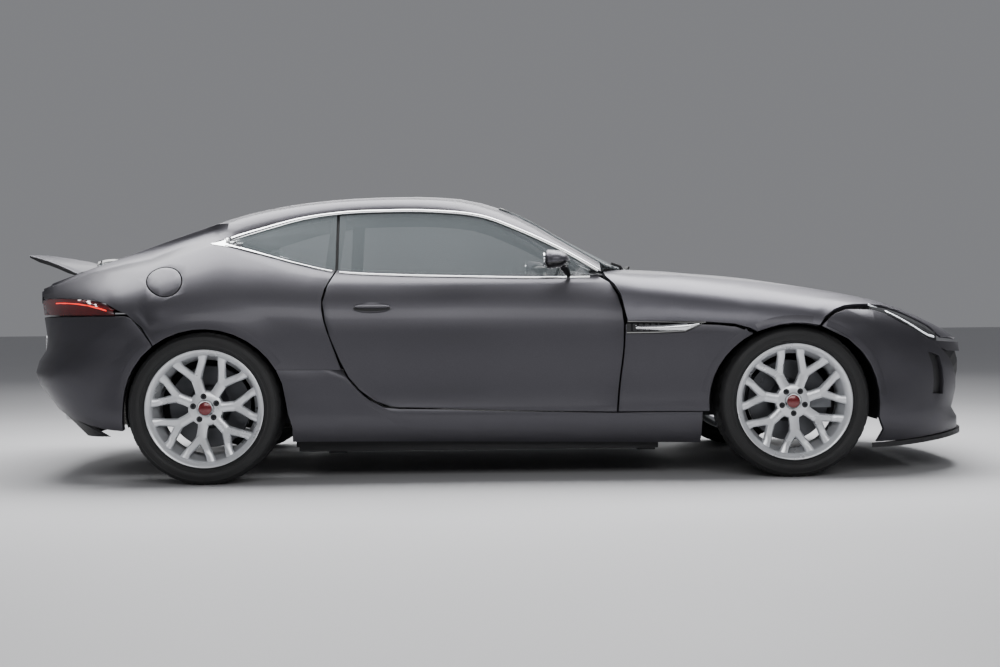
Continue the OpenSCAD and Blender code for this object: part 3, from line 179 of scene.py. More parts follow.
# mirror glass
MIRROR = finish("silvered_mirror_glass", "#d5d9dc", 0.03, 1.0, (0.2, 0.02), (0.01, 0.01, "Noise"))
# blank number plate sheet
PLATE = finish("blank_plate_sheet", "#d9dadb", 0.35, 0.0, (0.1, 0.03), (0.0006, 0.15, "Voronoi"), 0.3)
# side, rear and windscreen glass
GLASS = glass_finish("tinted_side_glass", "#a9b1b4", 0.26, 0.95)
SCREEN_GLASS = glass_finish("windscreen_glass", "#8f989b", 0.26, 0.95)


def dress(name, *materials):
    """Materials of a CAD node that stays as it is."""
    obj = NODES[name]
    while len(obj.material_slots) < len(materials):
        obj.data.materials.append(None)
    for slot in obj.material_slots:
        slot.material = materials[0]


for name, material in {
        "floor_pan": UNDER, "front_structure": UNDER, "rear_structure": UNDER, "front_grille": PLASTIC,
        "front_splitter": PLASTIC, "rear_diffuser": PLASTIC, "windscreen": SCREEN_GLASS,
        "quarter_windows": GLASS, "rear_window": GLASS, "door_window_left": GLASS,
        "door_window_right": GLASS, "headlamps": LENS, "tail_lamps": TAIL, "wheel_arch_liners": PLASTIC,
        "cowl": PLASTIC, "engine_block": CAST, "exhaust": EXHAUST, "dashboard": TRIM,
        "centre_console": TRIM, "suspension": UNDER, "steering_wheel": LEATHER, "knuckle_left": CAST,
        "knuckle_right": CAST}.items():
    dress(name, material)


# ---- meshes
def piece(name, verts, faces, materials, body, slot, indices=None, angle=35):
    mesh = bpy.data.meshes.new(name)
    mesh.from_pydata([tuple(v) for v in verts], [], faces)
    mesh.update()
    for material in materials:
        mesh.materials.append(material)
    if indices:
        for polygon, index in zip(mesh.polygons, indices):
            polygon.material_index = index
    obj = bpy.data.objects.new(name, mesh)
    bpy.context.scene.collection.objects.link(obj)
    bm = bmesh.new()
    bm.from_mesh(mesh)
    bmesh.ops.remove_doubles(bm, verts=bm.verts, dist=1e-5)
    bmesh.ops.recalc_face_normals(bm, faces=bm.faces)
    bm.to_mesh(mesh)
    bm.free()
    smooth(obj, angle)
    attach(obj, body)
    return obj


def smooth(obj, angle):
    bpy.ops.object.select_all(action="DESELECT")
    obj.select_set(True)
    bpy.context.view_layer.objects.active = obj
    bpy.ops.object.shade_smooth_by_angle(angle=math.radians(angle))


def apply(obj, kind, **settings):
    modifier = obj.modifiers.new(kind, kind)
    for key, value in settings.items():
        setattr(modifier, key, value)
    bpy.ops.object.select_all(action="DESELECT")
    obj.select_set(True)
    bpy.context.view_layer.objects.active = obj
    bpy.ops.object.modifier_apply(modifier=modifier.name)


def shells(rings, closed=False, caps=True):
    """Faces between rings of the same number of points, each ring closed."""
    n = len(rings[0])
    faces = []
    count = len(rings) if closed else len(rings) - 1
    for i in range(count):
        a, b = i * n, (i + 1) % len(rings) * n
        for j in range(n):
            k = (j + 1) % n
            faces.append((a + j, a + k, b + k, b + j))
    if caps and not closed:
        faces.append(tuple(range(n)))
        faces.append(tuple((len(rings) - 1) * n + j for j in reversed(range(n))))
    return faces


def join(parts):
    """One list of points, faces and material numbers from several (points, faces, number)."""
    verts, faces, indices = [], [], []
    for points, some, index in parts:
        base = len(verts)
        verts += points
        faces += [tuple(base + i for i in face) for face in some]
        indices += [index] * len(some)
    return verts, faces, indices


# ---- painted panels: merged, edges rounded, smooth
# roof, bonnet, tailgate and spoiler take the lighter paint: a painted highlight from the ceiling light
PANELS = {"body_side_left": PAINT, "body_side_right": PAINT, "sills": PAINT, "front_wings": PAINT,
          "front_bumper": PAINT, "rear_bumper": PAINT, "roof": PAINT_TOP_HIGHLIGHT, "door_left": PAINT,
          "door_right": PAINT, "bonnet": PAINT_TOP_HIGHLIGHT, "tailgate": PAINT_TOP_HIGHLIGHT, "spoiler": PAINT_TOP_HIGHLIGHT,
          "fuel_flap": PAINT}
body_of = {n: b for b, members in frame["record"]["behaviour"]["bodies"].items() for n in members}


def panel(name, material):
    source = NODES[name]
    mesh = source.data.copy()
    mesh.name = name + "_skin"
    mesh.materials.clear()
    mesh.materials.append(material)
    mesh.materials.append(PLASTIC)
    obj = bpy.data.objects.new(name + "_skin", mesh)
    bpy.context.scene.collection.objects.link(obj)
    bm = bmesh.new()
    bm.from_mesh(mesh)
    bmesh.ops.remove_doubles(bm, verts=bm.verts, dist=1e-5)
    for face in bm.faces:
        face.material_index = 1 if name == "spoiler" and face.normal.z < 0.2 else 0
    bm.to_mesh(mesh)
    bm.free()
    apply(obj, "BEVEL", width=0.0022, segments=2, limit_method="ANGLE", angle_limit=math.radians(50),
          harden_normals=False)
    smooth(obj, 40)
    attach(obj, body_of[name])
    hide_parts(name)
    return obj


for name, material in PANELS.items():
    panel(name, material)


# ---- places on the outer skin
def surface(*names):
    bm = bmesh.new()
    for name in names:
        bm.from_mesh(NODES[name].data)
    tree = BVHTree.FromBMesh(bm)
    bm.free()
    return tree


SKIN = surface("body_side_left", "body_side_right", "door_left", "door_right", "sills", "front_wings",
               "front_bumper", "rear_bumper", "bonnet", "headlamps", "tail_lamps", "fuel_flap")


def beside(x, z, side):
    """Place and outward direction on the car's side. Over a gap, the nearest panel's."""
    for k in range(30):
        for dx, dz in ((0, -k), (0, k), (-k, 0), (k, 0)):
            place, normal, _, _ = SKIN.ray_cast(
                Vector((x + dx * 0.002, 1.3 * side, z + dz * 0.002)), Vector((0, -side, 0)))
            if place is not None and place.y * side > 0.45:
                return Vector((x, place.y, z)), normal if normal.y * side > 0 else -normal
    raise ValueError(f"no skin at {x:.3f}, {z:.3f}")


def softened(spots):
    """Directions along a row of spots, each averaged with its neighbours."""
    result = []
    for i, (place, _) in enumerate(spots):
        near = spots[max(i - 2, 0):i + 3]
        result.append((place, sum((n for _, n in near), Vector()).normalized()))
    return result


def ribbon(name, spots, section, materials, body, slot, width=None):
    """A strip with a closed section along spots of (place, outward direction)."""
    rings = []
    for i, (place, normal) in enumerate(spots):
        ahead = spots[min(i + 1, len(spots) - 1)][0] - spots[max(i - 1, 0)][0]
        across = normal.cross(ahead.normalized()).normalized()
        if across.z < 0:
            across = -across
        k = width(i / (len(spots) - 1)) if width else 1
        rings.append([place + across * b * k + normal * h for b, h in section])
    verts = [p for ring in rings for p in ring]
    return piece(name, verts, shells(rings), materials, body, slot)


def half_round(width, height, foot=-0.002):
    return [(-width / 2, foot), (-width / 2, height * 0.5), (-width * 0.28, height * 0.9), (0, height),
            (width * 0.28, height * 0.9), (width / 2, height * 0.5), (width / 2, foot)]


def patch(name, top, low, side, height, materials, body, slot, n=24, m=6, index=None):
    """A thin plate on the skin between two lines of (x, z), its face raised by height(u, v)."""
    def at(line, u):
        k = u * (len(line) - 1)
        i = min(int(k), len(line) - 2)
        return [a + (b - a) * (k - i) for a, b in zip(line[i], line[i + 1])]
    outer, inner = [], []
    for i in range(n + 1):
        a, b = at(top, i / n), at(low, i / n)
        for j in range(m + 1):
            v = j / m
            place, normal = beside(a[0] * (1 - v) + b[0] * v, a[1] * (1 - v) + b[1] * v, side)
            outer.append(place + normal * height(i / n, v))
            inner.append(place - normal * 0.002)
    w = m + 1
    total = len(outer)
    faces, indices = [], []
    for i in range(n):
        for j in range(m):
            a = i * w + j
            faces.append((a, a + 1, a + w + 1, a + w))
            indices.append(index((i + 0.5) / n, (j + 0.5) / m) if index else 0)
            faces.append((total + a, total + a + w, total + a + w + 1, total + a + 1))
            indices.append(0)
    rim = [i * w for i in range(n + 1)] + [n * w + j for j in range(1, w)]
    rim += [i * w + m for i in range(n - 1, -1, -1)] + [j for j in range(m - 1, 0, -1)]
    for a, b in zip(rim, rim[1:] + rim[:1]):
        faces.append((a, b, total + b, total + a))
        indices.append(0)
    return piece(name, outer + inner, faces, materials, body, slot, indices)


def curve(knots, x):
    """Smooth line through knots of (x, value)."""
    last = len(knots) - 1
    i = next((k for k in range(last) if x < knots[k + 1][0]), last - 1)
    (x0, a), (x1, b) = knots[i], knots[i + 1]
    h = x1 - x0
    t = min(max((x - x0) / h, 0), 1)

    def slope(k):
        p, q = knots[max(k - 1, 0)], knots[min(k + 1, last)]
        return (q[1] - p[1]) / (q[0] - p[0])
    return (a * (1 + 2 * t) * (1 - t) ** 2 + b * t * t * (3 - 2 * t)
            + slope(i) * h * t * (1 - t) ** 2 - slope(i + 1) * h * t * t * (1 - t))


BELT = [(-1.262, 1.074), (-1.194, 1.057), (-1.069, 1.022), (-0.936, 0.985), (-0.76, 0.946),
        (-0.469, 0.928), (-0.155, 0.919), (0.137, 0.912), (0.43, 0.914)]
RAIL = [(-1.262, 1.086), (-1.222, 1.103), (-1.108, 1.138), (-0.926, 1.187), (-0.744, 1.213),
        (-0.562, 1.221), (-0.334, 1.219), (-0.106, 1.194), (0.076, 1.125), (0.259, 1.036), (0.441, 0.929)]
RAIL_Y = [(-1.268, 0.690), (-1.108, 0.665), (-0.926, 0.645), (-0.744, 0.638), (-0.562, 0.638),
          (-0.334, 0.645), (-0.106, 0.665), (0.076, 0.700), (0.259, 0.745), (0.441, 0.790)]


def steps(a, b, n):
    return [a + (b - a) * i / n for i in range(n + 1)]


def rail_spot(x, side):
    """Just under the rail over the side glass, and the way out from it."""
    edge = Vector((x, curve(RAIL_Y, x) * side, curve(RAIL, x)))
    foot, _ = beside(x, curve(BELT, x) - 0.004, side)
    down = (foot - edge).normalized()
    ahead = Vector((x + 0.01, curve(RAIL_Y, x + 0.01) * side, curve(RAIL, x + 0.01))) - edge
    out = down.cross(ahead).normalized()
    if out.y * side < 0:
        out = -out
    return edge + down * 0.004, out


for word, side in SIDES.items():
    # bright frame over the side glass
    spots = [rail_spot(x, side) for x in steps(0.425, -1.238, 60)]
    ribbon("window_chrome_" + word, spots, half_round(0.015, 0.006, -0.004), [CHROME], "body", "trim",
           lambda t: 1 + 0.4 * max(t - 0.75, 0) / 0.25)
    # bright belt strips on the door and on the quarter
    spots = softened([beside(x, curve(BELT, x) - 0.007, side) for x in steps(0.385, -0.742, 36)])
    ribbon("belt_chrome_door_" + word, spots, half_round(0.009, 0.004), [CHROME], "door_" + word, "trim")
    spots = softened([beside(x, curve(BELT, x) - 0.007, side) for x in steps(-0.775, -1.262, 24)])
    ribbon("belt_chrome_quarter_" + word, spots, half_round(0.010, 0.004), [CHROME], "body", "trim",
           lambda t: 1 + 1.2 * max(t - 0.5, 0) / 0.5)
    # pointed rear end of the frame
    patch("window_tip_" + word, [(-1.19, 1.112), (-1.25, 1.101), (-1.30, 1.087), (-1.333, 1.074)],
          [(-1.19, 1.045), (-1.25, 1.057), (-1.30, 1.066), (-1.333, 1.071)], side,
          lambda u, v: 0.003 * math.sin(math.pi * min(max(v, 0.08), 0.92)) + 0.001, [CHROME], "body", "trim")
    # flush door handle in its oval dish; the dish's black middle is painted shade of the recess
    oval = [(-0.592 + 0.088 * math.cos(a), 0.024 * math.sin(a)) for a in steps(0.12, math.pi - 0.12, 20)]
    patch("handle_dish_" + word, [(x, 0.776 + z) for x, z in oval], [(x, 0.776 - z) for x, z in oval], side,
          lambda u, v: 0.0006 + 0.0016 * (abs(2 * v - 1) ** 6), [PAINT, RECESS_SHADE], "door_" + word, "door_paint",
          32, 12, lambda u, v: 1 if 0.10 < u < 0.90 and 0.42 < v < 0.80 else 0)
    patch("door_handle_" + word, [(-0.515, 0.783), (-0.53, 0.786), (-0.655, 0.786), (-0.668, 0.783)],
          [(-0.515, 0.777), (-0.53, 0.772), (-0.655, 0.772), (-0.668, 0.777)], side,
          lambda u, v: 0.003 + 0.006 * math.sin(math.pi * v) ** 0.5 * math.sin(math.pi * u) ** 0.3,
          [PAINT], "door_" + word, "door_paint", 30, 8)
    # side vent with its bright blade
    patch("side_vent_" + word, [(0.894, 0.701), (0.80, 0.702), (0.66, 0.705), (0.540, 0.707)],
          [(0.894, 0.697), (0.80, 0.655), (0.66, 0.650), (0.540, 0.650)], side,
          lambda u, v: 0.0012 + 0.003 * (abs(2 * v - 1) ** 8), [GLOSS, PLASTIC], "body", "black_plastic",
          40, 10, lambda u, v: 1 if int(u * 26) % 2 and u > 0.6 and 0.15 < v < 0.85 else 0)
    patch("vent_blade_" + word, [(0.886, 0.699), (0.80, 0.694), (0.70, 0.686), (0.580, 0.683)],
          [(0.886, 0.696), (0.80, 0.664), (0.70, 0.664), (0.580, 0.670)], side,
          lambda u, v: 0.003 + 0.005 * math.sin(math.pi * v), [CHROME], "body", "trim", 30, 6)
    # signature strip in the headlamp
    spots = softened([beside(x, z, side) for x, z in [
        (1.655, 0.771), (1.69, 0.757), (1.727, 0.738), (1.77, 0.716), (1.819, 0.689), (1.86, 0.664),
        (1.895, 0.642), (1.925, 0.628), (1.955, 0.621)]])
    ribbon("lamp_strip_" + word, spots, half_round(0.010, 0.002, -0.001), [STRIP], "body", "lamp_lens")
    # tail lamp glass over its whole opening
    patch("tail_glass_" + word,
          [(-2.085, 0.826), (-1.98, 0.826), (-1.90, 0.823), (-1.84, 0.818), (-1.79, 0.808),
           (-1.76, 0.797), (-1.725, 0.776)],
          [(-2.085, 0.756), (-1.98, 0.757), (-1.90, 0.757), (-1.84, 0.757), (-1.79, 0.758), (-1.76, 0.760),
           (-1.725, 0.763)], side, lambda u, v: 0.0015 + 0.002 * math.sin(math.pi * v), [TAIL], "body",
          "tail_lens", 40, 8)
    # lit line in the tail lamp
    spots = softened([beside(x, z, side) for x, z in [
        (-2.02, 0.806), (-1.97, 0.806), (-1.90, 0.802), (-1.84, 0.794), (-1.79, 0.783), (-1.755, 0.773)]])
    ribbon("tail_line_" + word, spots, half_round(0.007, 0.0055, 0.001), [TAIL_LINE], "body", "tail_lens")
    # raised lips round the wheel arches, broken where the panels part
    for mark, centre, a, h, first, last, body in (
            ("bumper", FRONT_AXLE, 0.385, 0.356, 4, 70, "body"),
            ("bonnet", FRONT_AXLE, 0.385, 0.356, 79, 116, "bonnet"),
            ("wing", FRONT_AXLE, 0.385, 0.356, 122, 172, "body"),
            ("quarter", REAR_AXLE, 0.360, 0.352, 31, 125, "body"),
            ("rear", REAR_AXLE, 0.360, 0.352, 131, 172, "body")):
        spots = []
        for angle in steps(first, last, 16):
            c, s = math.cos(math.radians(angle)), math.sin(math.radians(angle))
            spots.append(beside(centre + (a + 0.020) * c, ARCH_Z + (h + 0.020) * s, side))
        lip = [(-0.016, -0.003), (-0.014, 0.0008), (0.0, 0.0020), (0.014, 0.0006), (0.016, -0.003)]
        rings = []
        for i, (place, normal) in enumerate(softened(spots)):
            out = (place - Vector((centre, place.y, ARCH_Z))).normalized()
            out = (out - normal * out.dot(normal)).normalized()
            rings.append([place + out * b + normal * t for b, t in lip])
        piece("arch_lip_%s_%s" % (mark, word), [p for ring in rings for p in ring], shells(rings), [PAINT],
              body, "body_paint")


# ---- wheels
def turned(profile, n, centre, side, closed=True):
    """Rings of a turned shape: (radius, way out from the wheel's outer lip)."""
    rings = []
    for i in range(n):
        a = 2 * math.pi * i / n
        rings.append([Vector((centre[0] + r * math.cos(a), centre[1] + out * side,
                              centre[2] + r * math.sin(a)))
                      for r, out in profile])
    faces = []
    count = len(profile)
    for i in range(n):
        p, q = i * count, (i + 1) % n * count
        for j in range(count if closed else count - 1):
            k = (j + 1) % count
            faces.append((p + j, p + k, q + k, q + j))
    return [v for ring in rings for v in ring], faces


def bar(stations, centre, side, turn):
    """A spoke: stations of (radial, sideways, heading, width, out, depth) lofted."""
    rings = []
    for radial, aside, heading, width, out, depth in stations:
        h = math.radians(heading)
        ring = []
        for t, d in ((-0.62, -depth), (-0.58, -0.006), (-0.38, 0.0),
                     (0.38, 0.0), (0.58, -0.006), (0.62, -depth)):
            r = radial - math.sin(h) * t * width
            w = aside + math.cos(h) * t * width
            c, s = math.cos(turn), math.sin(turn)
            ring.append(Vector((centre[0] + r * c - w * s, centre[1] + (out + d) * side,
                                centre[2] + r * s + w * c)))
        rings.append(ring)
    return [v for ring in rings for v in ring], shells(rings)


def wheel(end, word):
    side = SIDES[word]
    mark = "%s_%s" % (end, word)
    low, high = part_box("rim_" + mark)
    r = (high.z - low.z) / 2
    w = high.y - low.y
    centre = ((low.x + high.x) / 2, high.y if side > 0 else low.y, (low.z + high.z) / 2)
    tl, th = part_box("tyre_" + mark)
    big = (th.z - tl.z) / 2
    body = "wheel_" + mark
    # rim
    barrel = [(r - 0.008, -0.0015), (r - 0.004, 0), (r, -0.002), (r, -0.008), (r - 0.021, -0.016),
              (r - 0.021, -0.048), (r - 0.038, -0.072), (r - 0.038, 0.072 - w), (r - 0.021, 0.048 - w),
              (r - 0.021, 0.016 - w), (r, 0.008 - w), (r, -w), (r - 0.008, -w), (r - 0.029, 0.012 - w),
              (r - 0.029, 0.052 - w), (r - 0.046, 0.076 - w), (r - 0.046, -0.068), (r - 0.031, -0.044),
              (r - 0.027, -0.016)]
    hub = [(0.036, -0.060), (0.036, -0.037), (0.040, -0.033),
           (0.068, -0.033), (0.076, -0.038), (0.080, -0.060)]
    parts = [(*turned(barrel, 112, centre, side), 0), (*turned(hub, 56, centre, side), 0)]
    for k in range(7):
        turn = math.radians(360 / 7 * k + (16 if end == "front" else 4))
        parts.append((*bar([(0.055, 0, 0, 0.044, -0.034, 0.026), (0.09, 0, 0, 0.036, -0.034, 0.026),
                            (0.125, 0, 0, 0.038, -0.033, 0.026), (0.158, 0, 0, 0.046, -0.032, 0.024)],
                           centre, side, turn), 0))
        for s in (-1, 1):
            parts.append((*bar([(0.128, s * 0.004, s * 10, 0.028, -0.033, 0.024),
                                (0.150, s * 0.014, s * 32, 0.030, -0.031, 0.024),
                                (0.178, s * 0.032, s * 37, 0.028, -0.027, 0.022),
                                (0.204, s * 0.050, s * 32, 0.028, -0.021, 0.022),
                                (r - 0.024, s * 0.064, s * 26, 0.038, -0.015, 0.020)], centre, side, turn), 0))
    rim = piece("rim_%s_cast" % mark, *join(parts)[:2], [ALLOY], body, "alloy", None, 45)
    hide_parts("rim_" + mark)
    # turned disc with its bell
    disc = [(0.050, 0.052 - w), (0.182, 0.052 - w), (0.184, 0.054 - w), (0.184, 0.066 - w),
            (0.170, 0.067 - w), (0.170, 0.070 - w), (0.184, 0.071 - w), (0.184, 0.082 - w),
            (0.182, 0.084 - w), (0.100, 0.084 - w),
            (0.092, 0.090 - w), (0.072, -0.063), (0.050, -0.063)]
    points, faces = turned(disc, 96, centre, side)
    piece("brake_disc_" + mark, points, faces, [DISC], body, "steel")
    # centre cap, silver ring, five nuts and the valve
    parts = [(*turned([(0.0, -0.050), (0.029, -0.050), (0.029, -0.031), (0.024, -0.028), (0.0, -0.0265)], 40,
                      centre, side, False), 0),
             (*turned([(0.029, -0.050), (0.036, -0.050), (0.036, -0.033), (0.033, -0.0295), (0.0295, -0.030)],
                      48, centre, side), 1)]
    first = 55 if end == "front" else 25
    for k in range(5):
        a = math.radians(first + 72 * k)
        at = (centre[0] + 0.054 * math.cos(a), centre[1], centre[2] + 0.054 * math.sin(a))
        parts.append((*turned([(0.0, -0.040), (0.0135, -0.040), (0.0135, -0.0325), (0.0115, -0.0325),
                               (0.0, -0.0335)], 24, at, side, False), 3))
        parts.append((*turned([(0.0, -0.040), (0.0098, -0.040), (0.0098, -0.026),
                               (0.0075, -0.022), (0.0, -0.0215)],
                              6, at, side, False), 2))
    valve = (centre[0] + (r - 0.034), centre[1], centre[2])
    parts.append((*turned([(0.0, -0.060), (0.0045, -0.060), (0.0045, -0.026), (0.003, -0.022), (0.0, -0.022)],
                          14, valve, side, False), 3))
    verts, faces, indices = join(parts)
    piece("wheel_fittings_" + mark, verts, faces, [ENAMEL, CHROME, STEEL, PLASTIC], body,
          "steel", indices, 40)
    # tyre with ribs, cuts across the shoulders and blank raised bands
    wall = [(r - 0.0207, -0.034), (r + 0.0006, -0.009), (r + 0.005, 0.000), (r + 0.009, 0.004),
            (r + 0.014, 0.0068), (r + 0.016, 0.0090), (r + 0.0185, 0.0092), (r + 0.021, 0.0082),
            (r + 0.030, 0.0108), (r + 0.033, 0.0112), (r + 0.0335, 0.0120), (big - 0.040, 0.0120),
            (big - 0.0395, 0.0108), (big - 0.034, 0.0104), (big - 0.022, 0.0062), (big - 0.020, 0.0070),
            (big - 0.014, 0.0034), (big - 0.010, -0.0015), (big - 0.0035, -0.0130)]
    # the ribs' edges, drawn on a tyre 0.222 wide, and the depth of the grooves between them
    drawn_tread = 0.222
    groove = 0.0065
    ribs = [0.018, 0.050, 0.056, 0.088, 0.094, 0.126, 0.132, 0.164, 0.170, 0.205]
    profile = [(q, o, 0) for q, o in wall]
    for i in range(len(ribs) - 1):
        a, b = -w * ribs[i] / drawn_tread, -w * ribs[i + 1] / drawn_tread
        if i % 2 == 0:
            profile += [(big, a, 1 if i in (0, 8) else 2), (big, (a + b) / 2, 1 if i in (0, 8) else 2)]
        else:
            profile += [(big, a, 2), (big - groove, a - 0.0008, 0), (big - groove, b + 0.0008, 0)]
    profile.append((big, -w * ribs[-1] / drawn_tread, 1))
    profile += [(q, -w - o, 0) for q, o in reversed(wall)]
    profile += [(r - 0.010, 0.050 - w, 0), (r + 0.022, 0.034 - w, 0), (r + 0.022, -0.034, 0),
                (r - 0.010, -0.050, 0)]
    n = 216
    rings = []
    c0 = Vector(centre)
    for i in range(n):
        a = 2 * math.pi * i / n
        ring = []
        for q, out, kind in profile:
            cut = 0.005 if kind == 1 and i % 6 == 0 else 0.0035 if kind == 2 and i % 9 == 4 else 0
            q2 = q - cut
            ring.append(c0 + Vector((q2 * math.cos(a), out * side, q2 * math.sin(a))))
        rings.append(ring)
    tyre = piece("tyre_%s_moulded" % mark, [v for ring in rings for v in ring], shells(rings, True), [TYRE],
                 body, "rubber", None, 32)
    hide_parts("tyre_" + mark)


for end in ("front", "rear"):
    for word in SIDES:
        wheel(end, word)


# ---- mirrors: smooth shell, painted above in the lighter paint as a painted highlight and gloss black below, with its glass
for word, side in SIDES.items():
    source = NODES["mirror_" + word]
    mesh = source.data.copy()
    mesh.name = "mirror_shell_" + word
    shell = bpy.data.objects.new(mesh.name, mesh)
    bpy.context.scene.collection.objects.link(shell)
    apply(shell, "REMESH", mode="VOXEL", voxel_size=0.005)
    apply(shell, "SMOOTH", factor=0.5, iterations=6)
    mesh = shell.data
    mesh.materials.clear()
    for material in (PAINT_TOP_HIGHLIGHT, GLOSS):
        mesh.materials.append(material)
    for polygon in mesh.polygons:
        c = polygon.center
        polygon.material_index = 0 if c.z > 0.972 + 0.10 * (c.x - 0.22) and abs(c.y) > 0.865 else 1
    smooth(shell, 60)
    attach(shell, "door_" + word)
    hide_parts("mirror_" + word)
    low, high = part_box("mirror_" + word)
    face = [Vector((low.x + 0.0015, side * (0.951 + 0.036 * 1.35 * math.cos(a)),
                    0.984 + 0.030 * math.sin(a)))
            for a in steps(0, 2 * math.pi, 40)[:-1]]
    back = [p + Vector((0.006, 0, 0)) for p in face]
    piece("mirror_glass_" + word, face + back, shells([face, back]), [MIRROR], "door_" + word, "glass")


# ---- glass borders printed black
def border(name, node, up, width, body):
    bm = bmesh.new()
    bm.from_mesh(NODES[node].data)
    bmesh.ops.remove_doubles(bm, verts=bm.verts, dist=1e-5)
    away = [f for f in bm.faces if f.normal.dot(up) < 0.35]
    bmesh.ops.delete(bm, geom=away, context="FACES")
    result = bmesh.ops.inset_region(bm, faces=bm.faces[:], thickness=width, use_even_offset=True,
                                       use_boundary=True)
    ring = set(result["faces"])
    bmesh.ops.delete(bm, geom=[f for f in bm.faces if f not in ring], context="FACES")
    for vert in bm.verts:
        vert.co += vert.normal * 0.0006
    mesh = bpy.data.meshes.new(name)
    bm.to_mesh(mesh)
    bm.free()
    obj = bpy.data.objects.new(name, mesh)
    bpy.context.scene.collection.objects.link(obj)
    mesh.materials.append(GLOSS)
    smooth(obj, 60)
    apply(obj, "SOLIDIFY", thickness=0.0008, offset=-1)
    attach(obj, body)


border("windscreen_border", "windscreen", Vector((0.5, 0, 0.86)), 0.035, "body")
border("rear_window_border", "rear_window", Vector((-0.4, 0, 0.9)), 0.030, "tailgate")


# ---- black pillar behind the side glass
for word, side in SIDES.items():
    foot, _ = beside(-0.775, curve(BELT, -0.775) - 0.006, side)
    head = Vector((-0.748, curve(RAIL_Y, -0.75) * side, curve(RAIL, -0.75)))
    rings = []
    for t in steps(0.0, 0.985, 8):
        p = foot.lerp(head, t) - Vector((0, side * (0.020 - 0.014 * t * (1 - t)), 0))
        rings.append([p + Vector((dx, side * dy, 0)) for dx, dy in
                      ((-0.034, 0), (-0.030, 0.003), (0.030, 0.003), (0.034, 0),
                        (0.030, -0.012), (-0.030, -0.012))])
    piece("side_pillar_" + word, [p for ring in rings for p in ring], shells(rings), [PLASTIC],
          "body", "black_plastic")


# ---- wipers
GLASS_TREE = surface("windscreen", "cowl")


def over(x, y, lift):
    place, normal, _, _ = GLASS_TREE.ray_cast(Vector((x, y, 2)), Vector((0, 0, -1)))
    if place is None:
        place, normal, _, _ = GLASS_TREE.find_nearest(Vector((x, y, 0.95)))
    return place + (normal if normal.z > 0 else -normal) * lift


for k, line in enumerate(([(0.672, 0.36), (0.655, 0.26), (0.640, 0.10), (0.632, -0.10), (0.622, -0.24)],
                          [(0.660, -0.30), (0.640, -0.38), (0.590, -0.46), (0.545, -0.53), (0.500, -0.60)])):
    path = [over(x, y, 0.018 - 0.008 * i / 4) for i, (x, y) in enumerate(line)]
    rings = []
    for i, p in enumerate(path):
        ahead = (path[min(i + 1, 4)] - path[max(i - 1, 0)]).normalized()
        up = Vector((0.4, 0, 0.9)).normalized()
        across = ahead.cross(up).normalized()
        k2 = 1 - 0.5 * i / 4
        rings.append([p + across * a * k2 + up * b for a, b in
                      ((-0.009, -0.006), (-0.009, 0.003), (-0.004, 0.007),
                        (0.004, 0.007), (0.009, 0.003), (0.009, -0.006))])
    piece("wiper_arm_%d" % k, [p for ring in rings for p in ring], shells(rings), [PLASTIC],
          "body", "black_plastic")


# ---- blank plates, grille bars and exhaust rims
REAR = surface("rear_bumper")
NOSE = surface("front_grille", "front_bumper")


def plate(name, tree, origin, way, width, height, z):
    points = []
    n = 12
    rows = 4
    for i in range(n + 1):
        for j in range(rows + 1):
            y = width * (i / n - 0.5)
            hit, _, _, _ = tree.ray_cast(Vector((origin, y, z + height * (j / rows - 0.5))),
                                         Vector((way, 0, 0)))
            points.append(hit)
    x = max(p.x for p in points) if way < 0 else min(p.x for p in points)
    rings = []
    for inset, out in ((0.0, -0.004), (0.0, 0.003), (0.004, 0.004), (0.006, 0.003), (0.5, 0.003)):
        ring = []
        for a in steps(0, 2 * math.pi, 48)[:-1]:
            c, s = math.cos(a), math.sin(a)
            k = (abs(c) ** 14 + abs(s) ** 14) ** (-1 / 14)
            wy, hz = width / 2 - min(inset, 0.45 * width), height / 2 - min(inset, 0.45 * height)
            ring.append(Vector((x - way * out, max(wy, 0.001) * k * c, z + max(hz, 0.001) * k * s)))
        rings.append(ring)
    piece(name, [p for ring in rings for p in ring], shells(rings), [PLATE], "body", "trim")


plate("rear_plate_blank", REAR, -3.0, 1, 0.52, 0.11, 0.60)
parts = []
for k in range(9):
    z = 0.265 + 0.030 * k
    rings = []
    for y in steps(-0.36, 0.36, 18):
        hit, _, _, _ = NOSE.ray_cast(Vector((3.0, y, z)), Vector((-1, 0, 0)))
        p = hit + Vector((0.002, 0, 0))
        rings.append([p + Vector((a, 0, b)) for a, b in
                      ((-0.004, -0.006), (0.006, -0.003), (0.008, 0), (0.006, 0.003), (-0.004, 0.006))])
    parts.append(([p for ring in rings for p in ring], shells(rings), 0))
verts, faces, _ = join(parts)
piece("grille_bars", verts, faces, [GLOSS], "body", "black_plastic")
parts = []
for y in (-0.062, 0.062):
    rings = []
    for a in steps(0, 2 * math.pi, 48)[:-1]:
        rings.append([Vector((-2.150 + dx, y + r * math.cos(a), 0.278 + r * math.sin(a))) for dx, r in
                      ((0.0, 0.043), (-0.006, 0.043), (-0.009, 0.0455), (-0.006, 0.0485),
                        (0.012, 0.0485), (0.012, 0.0462), (0.0, 0.0462))])
    parts.append(([p for ring in rings for p in ring], shells(rings, True), 0))
verts, faces, _ = join(parts)
piece("exhaust_rims", verts, faces, [CHROME], "body", "trim")


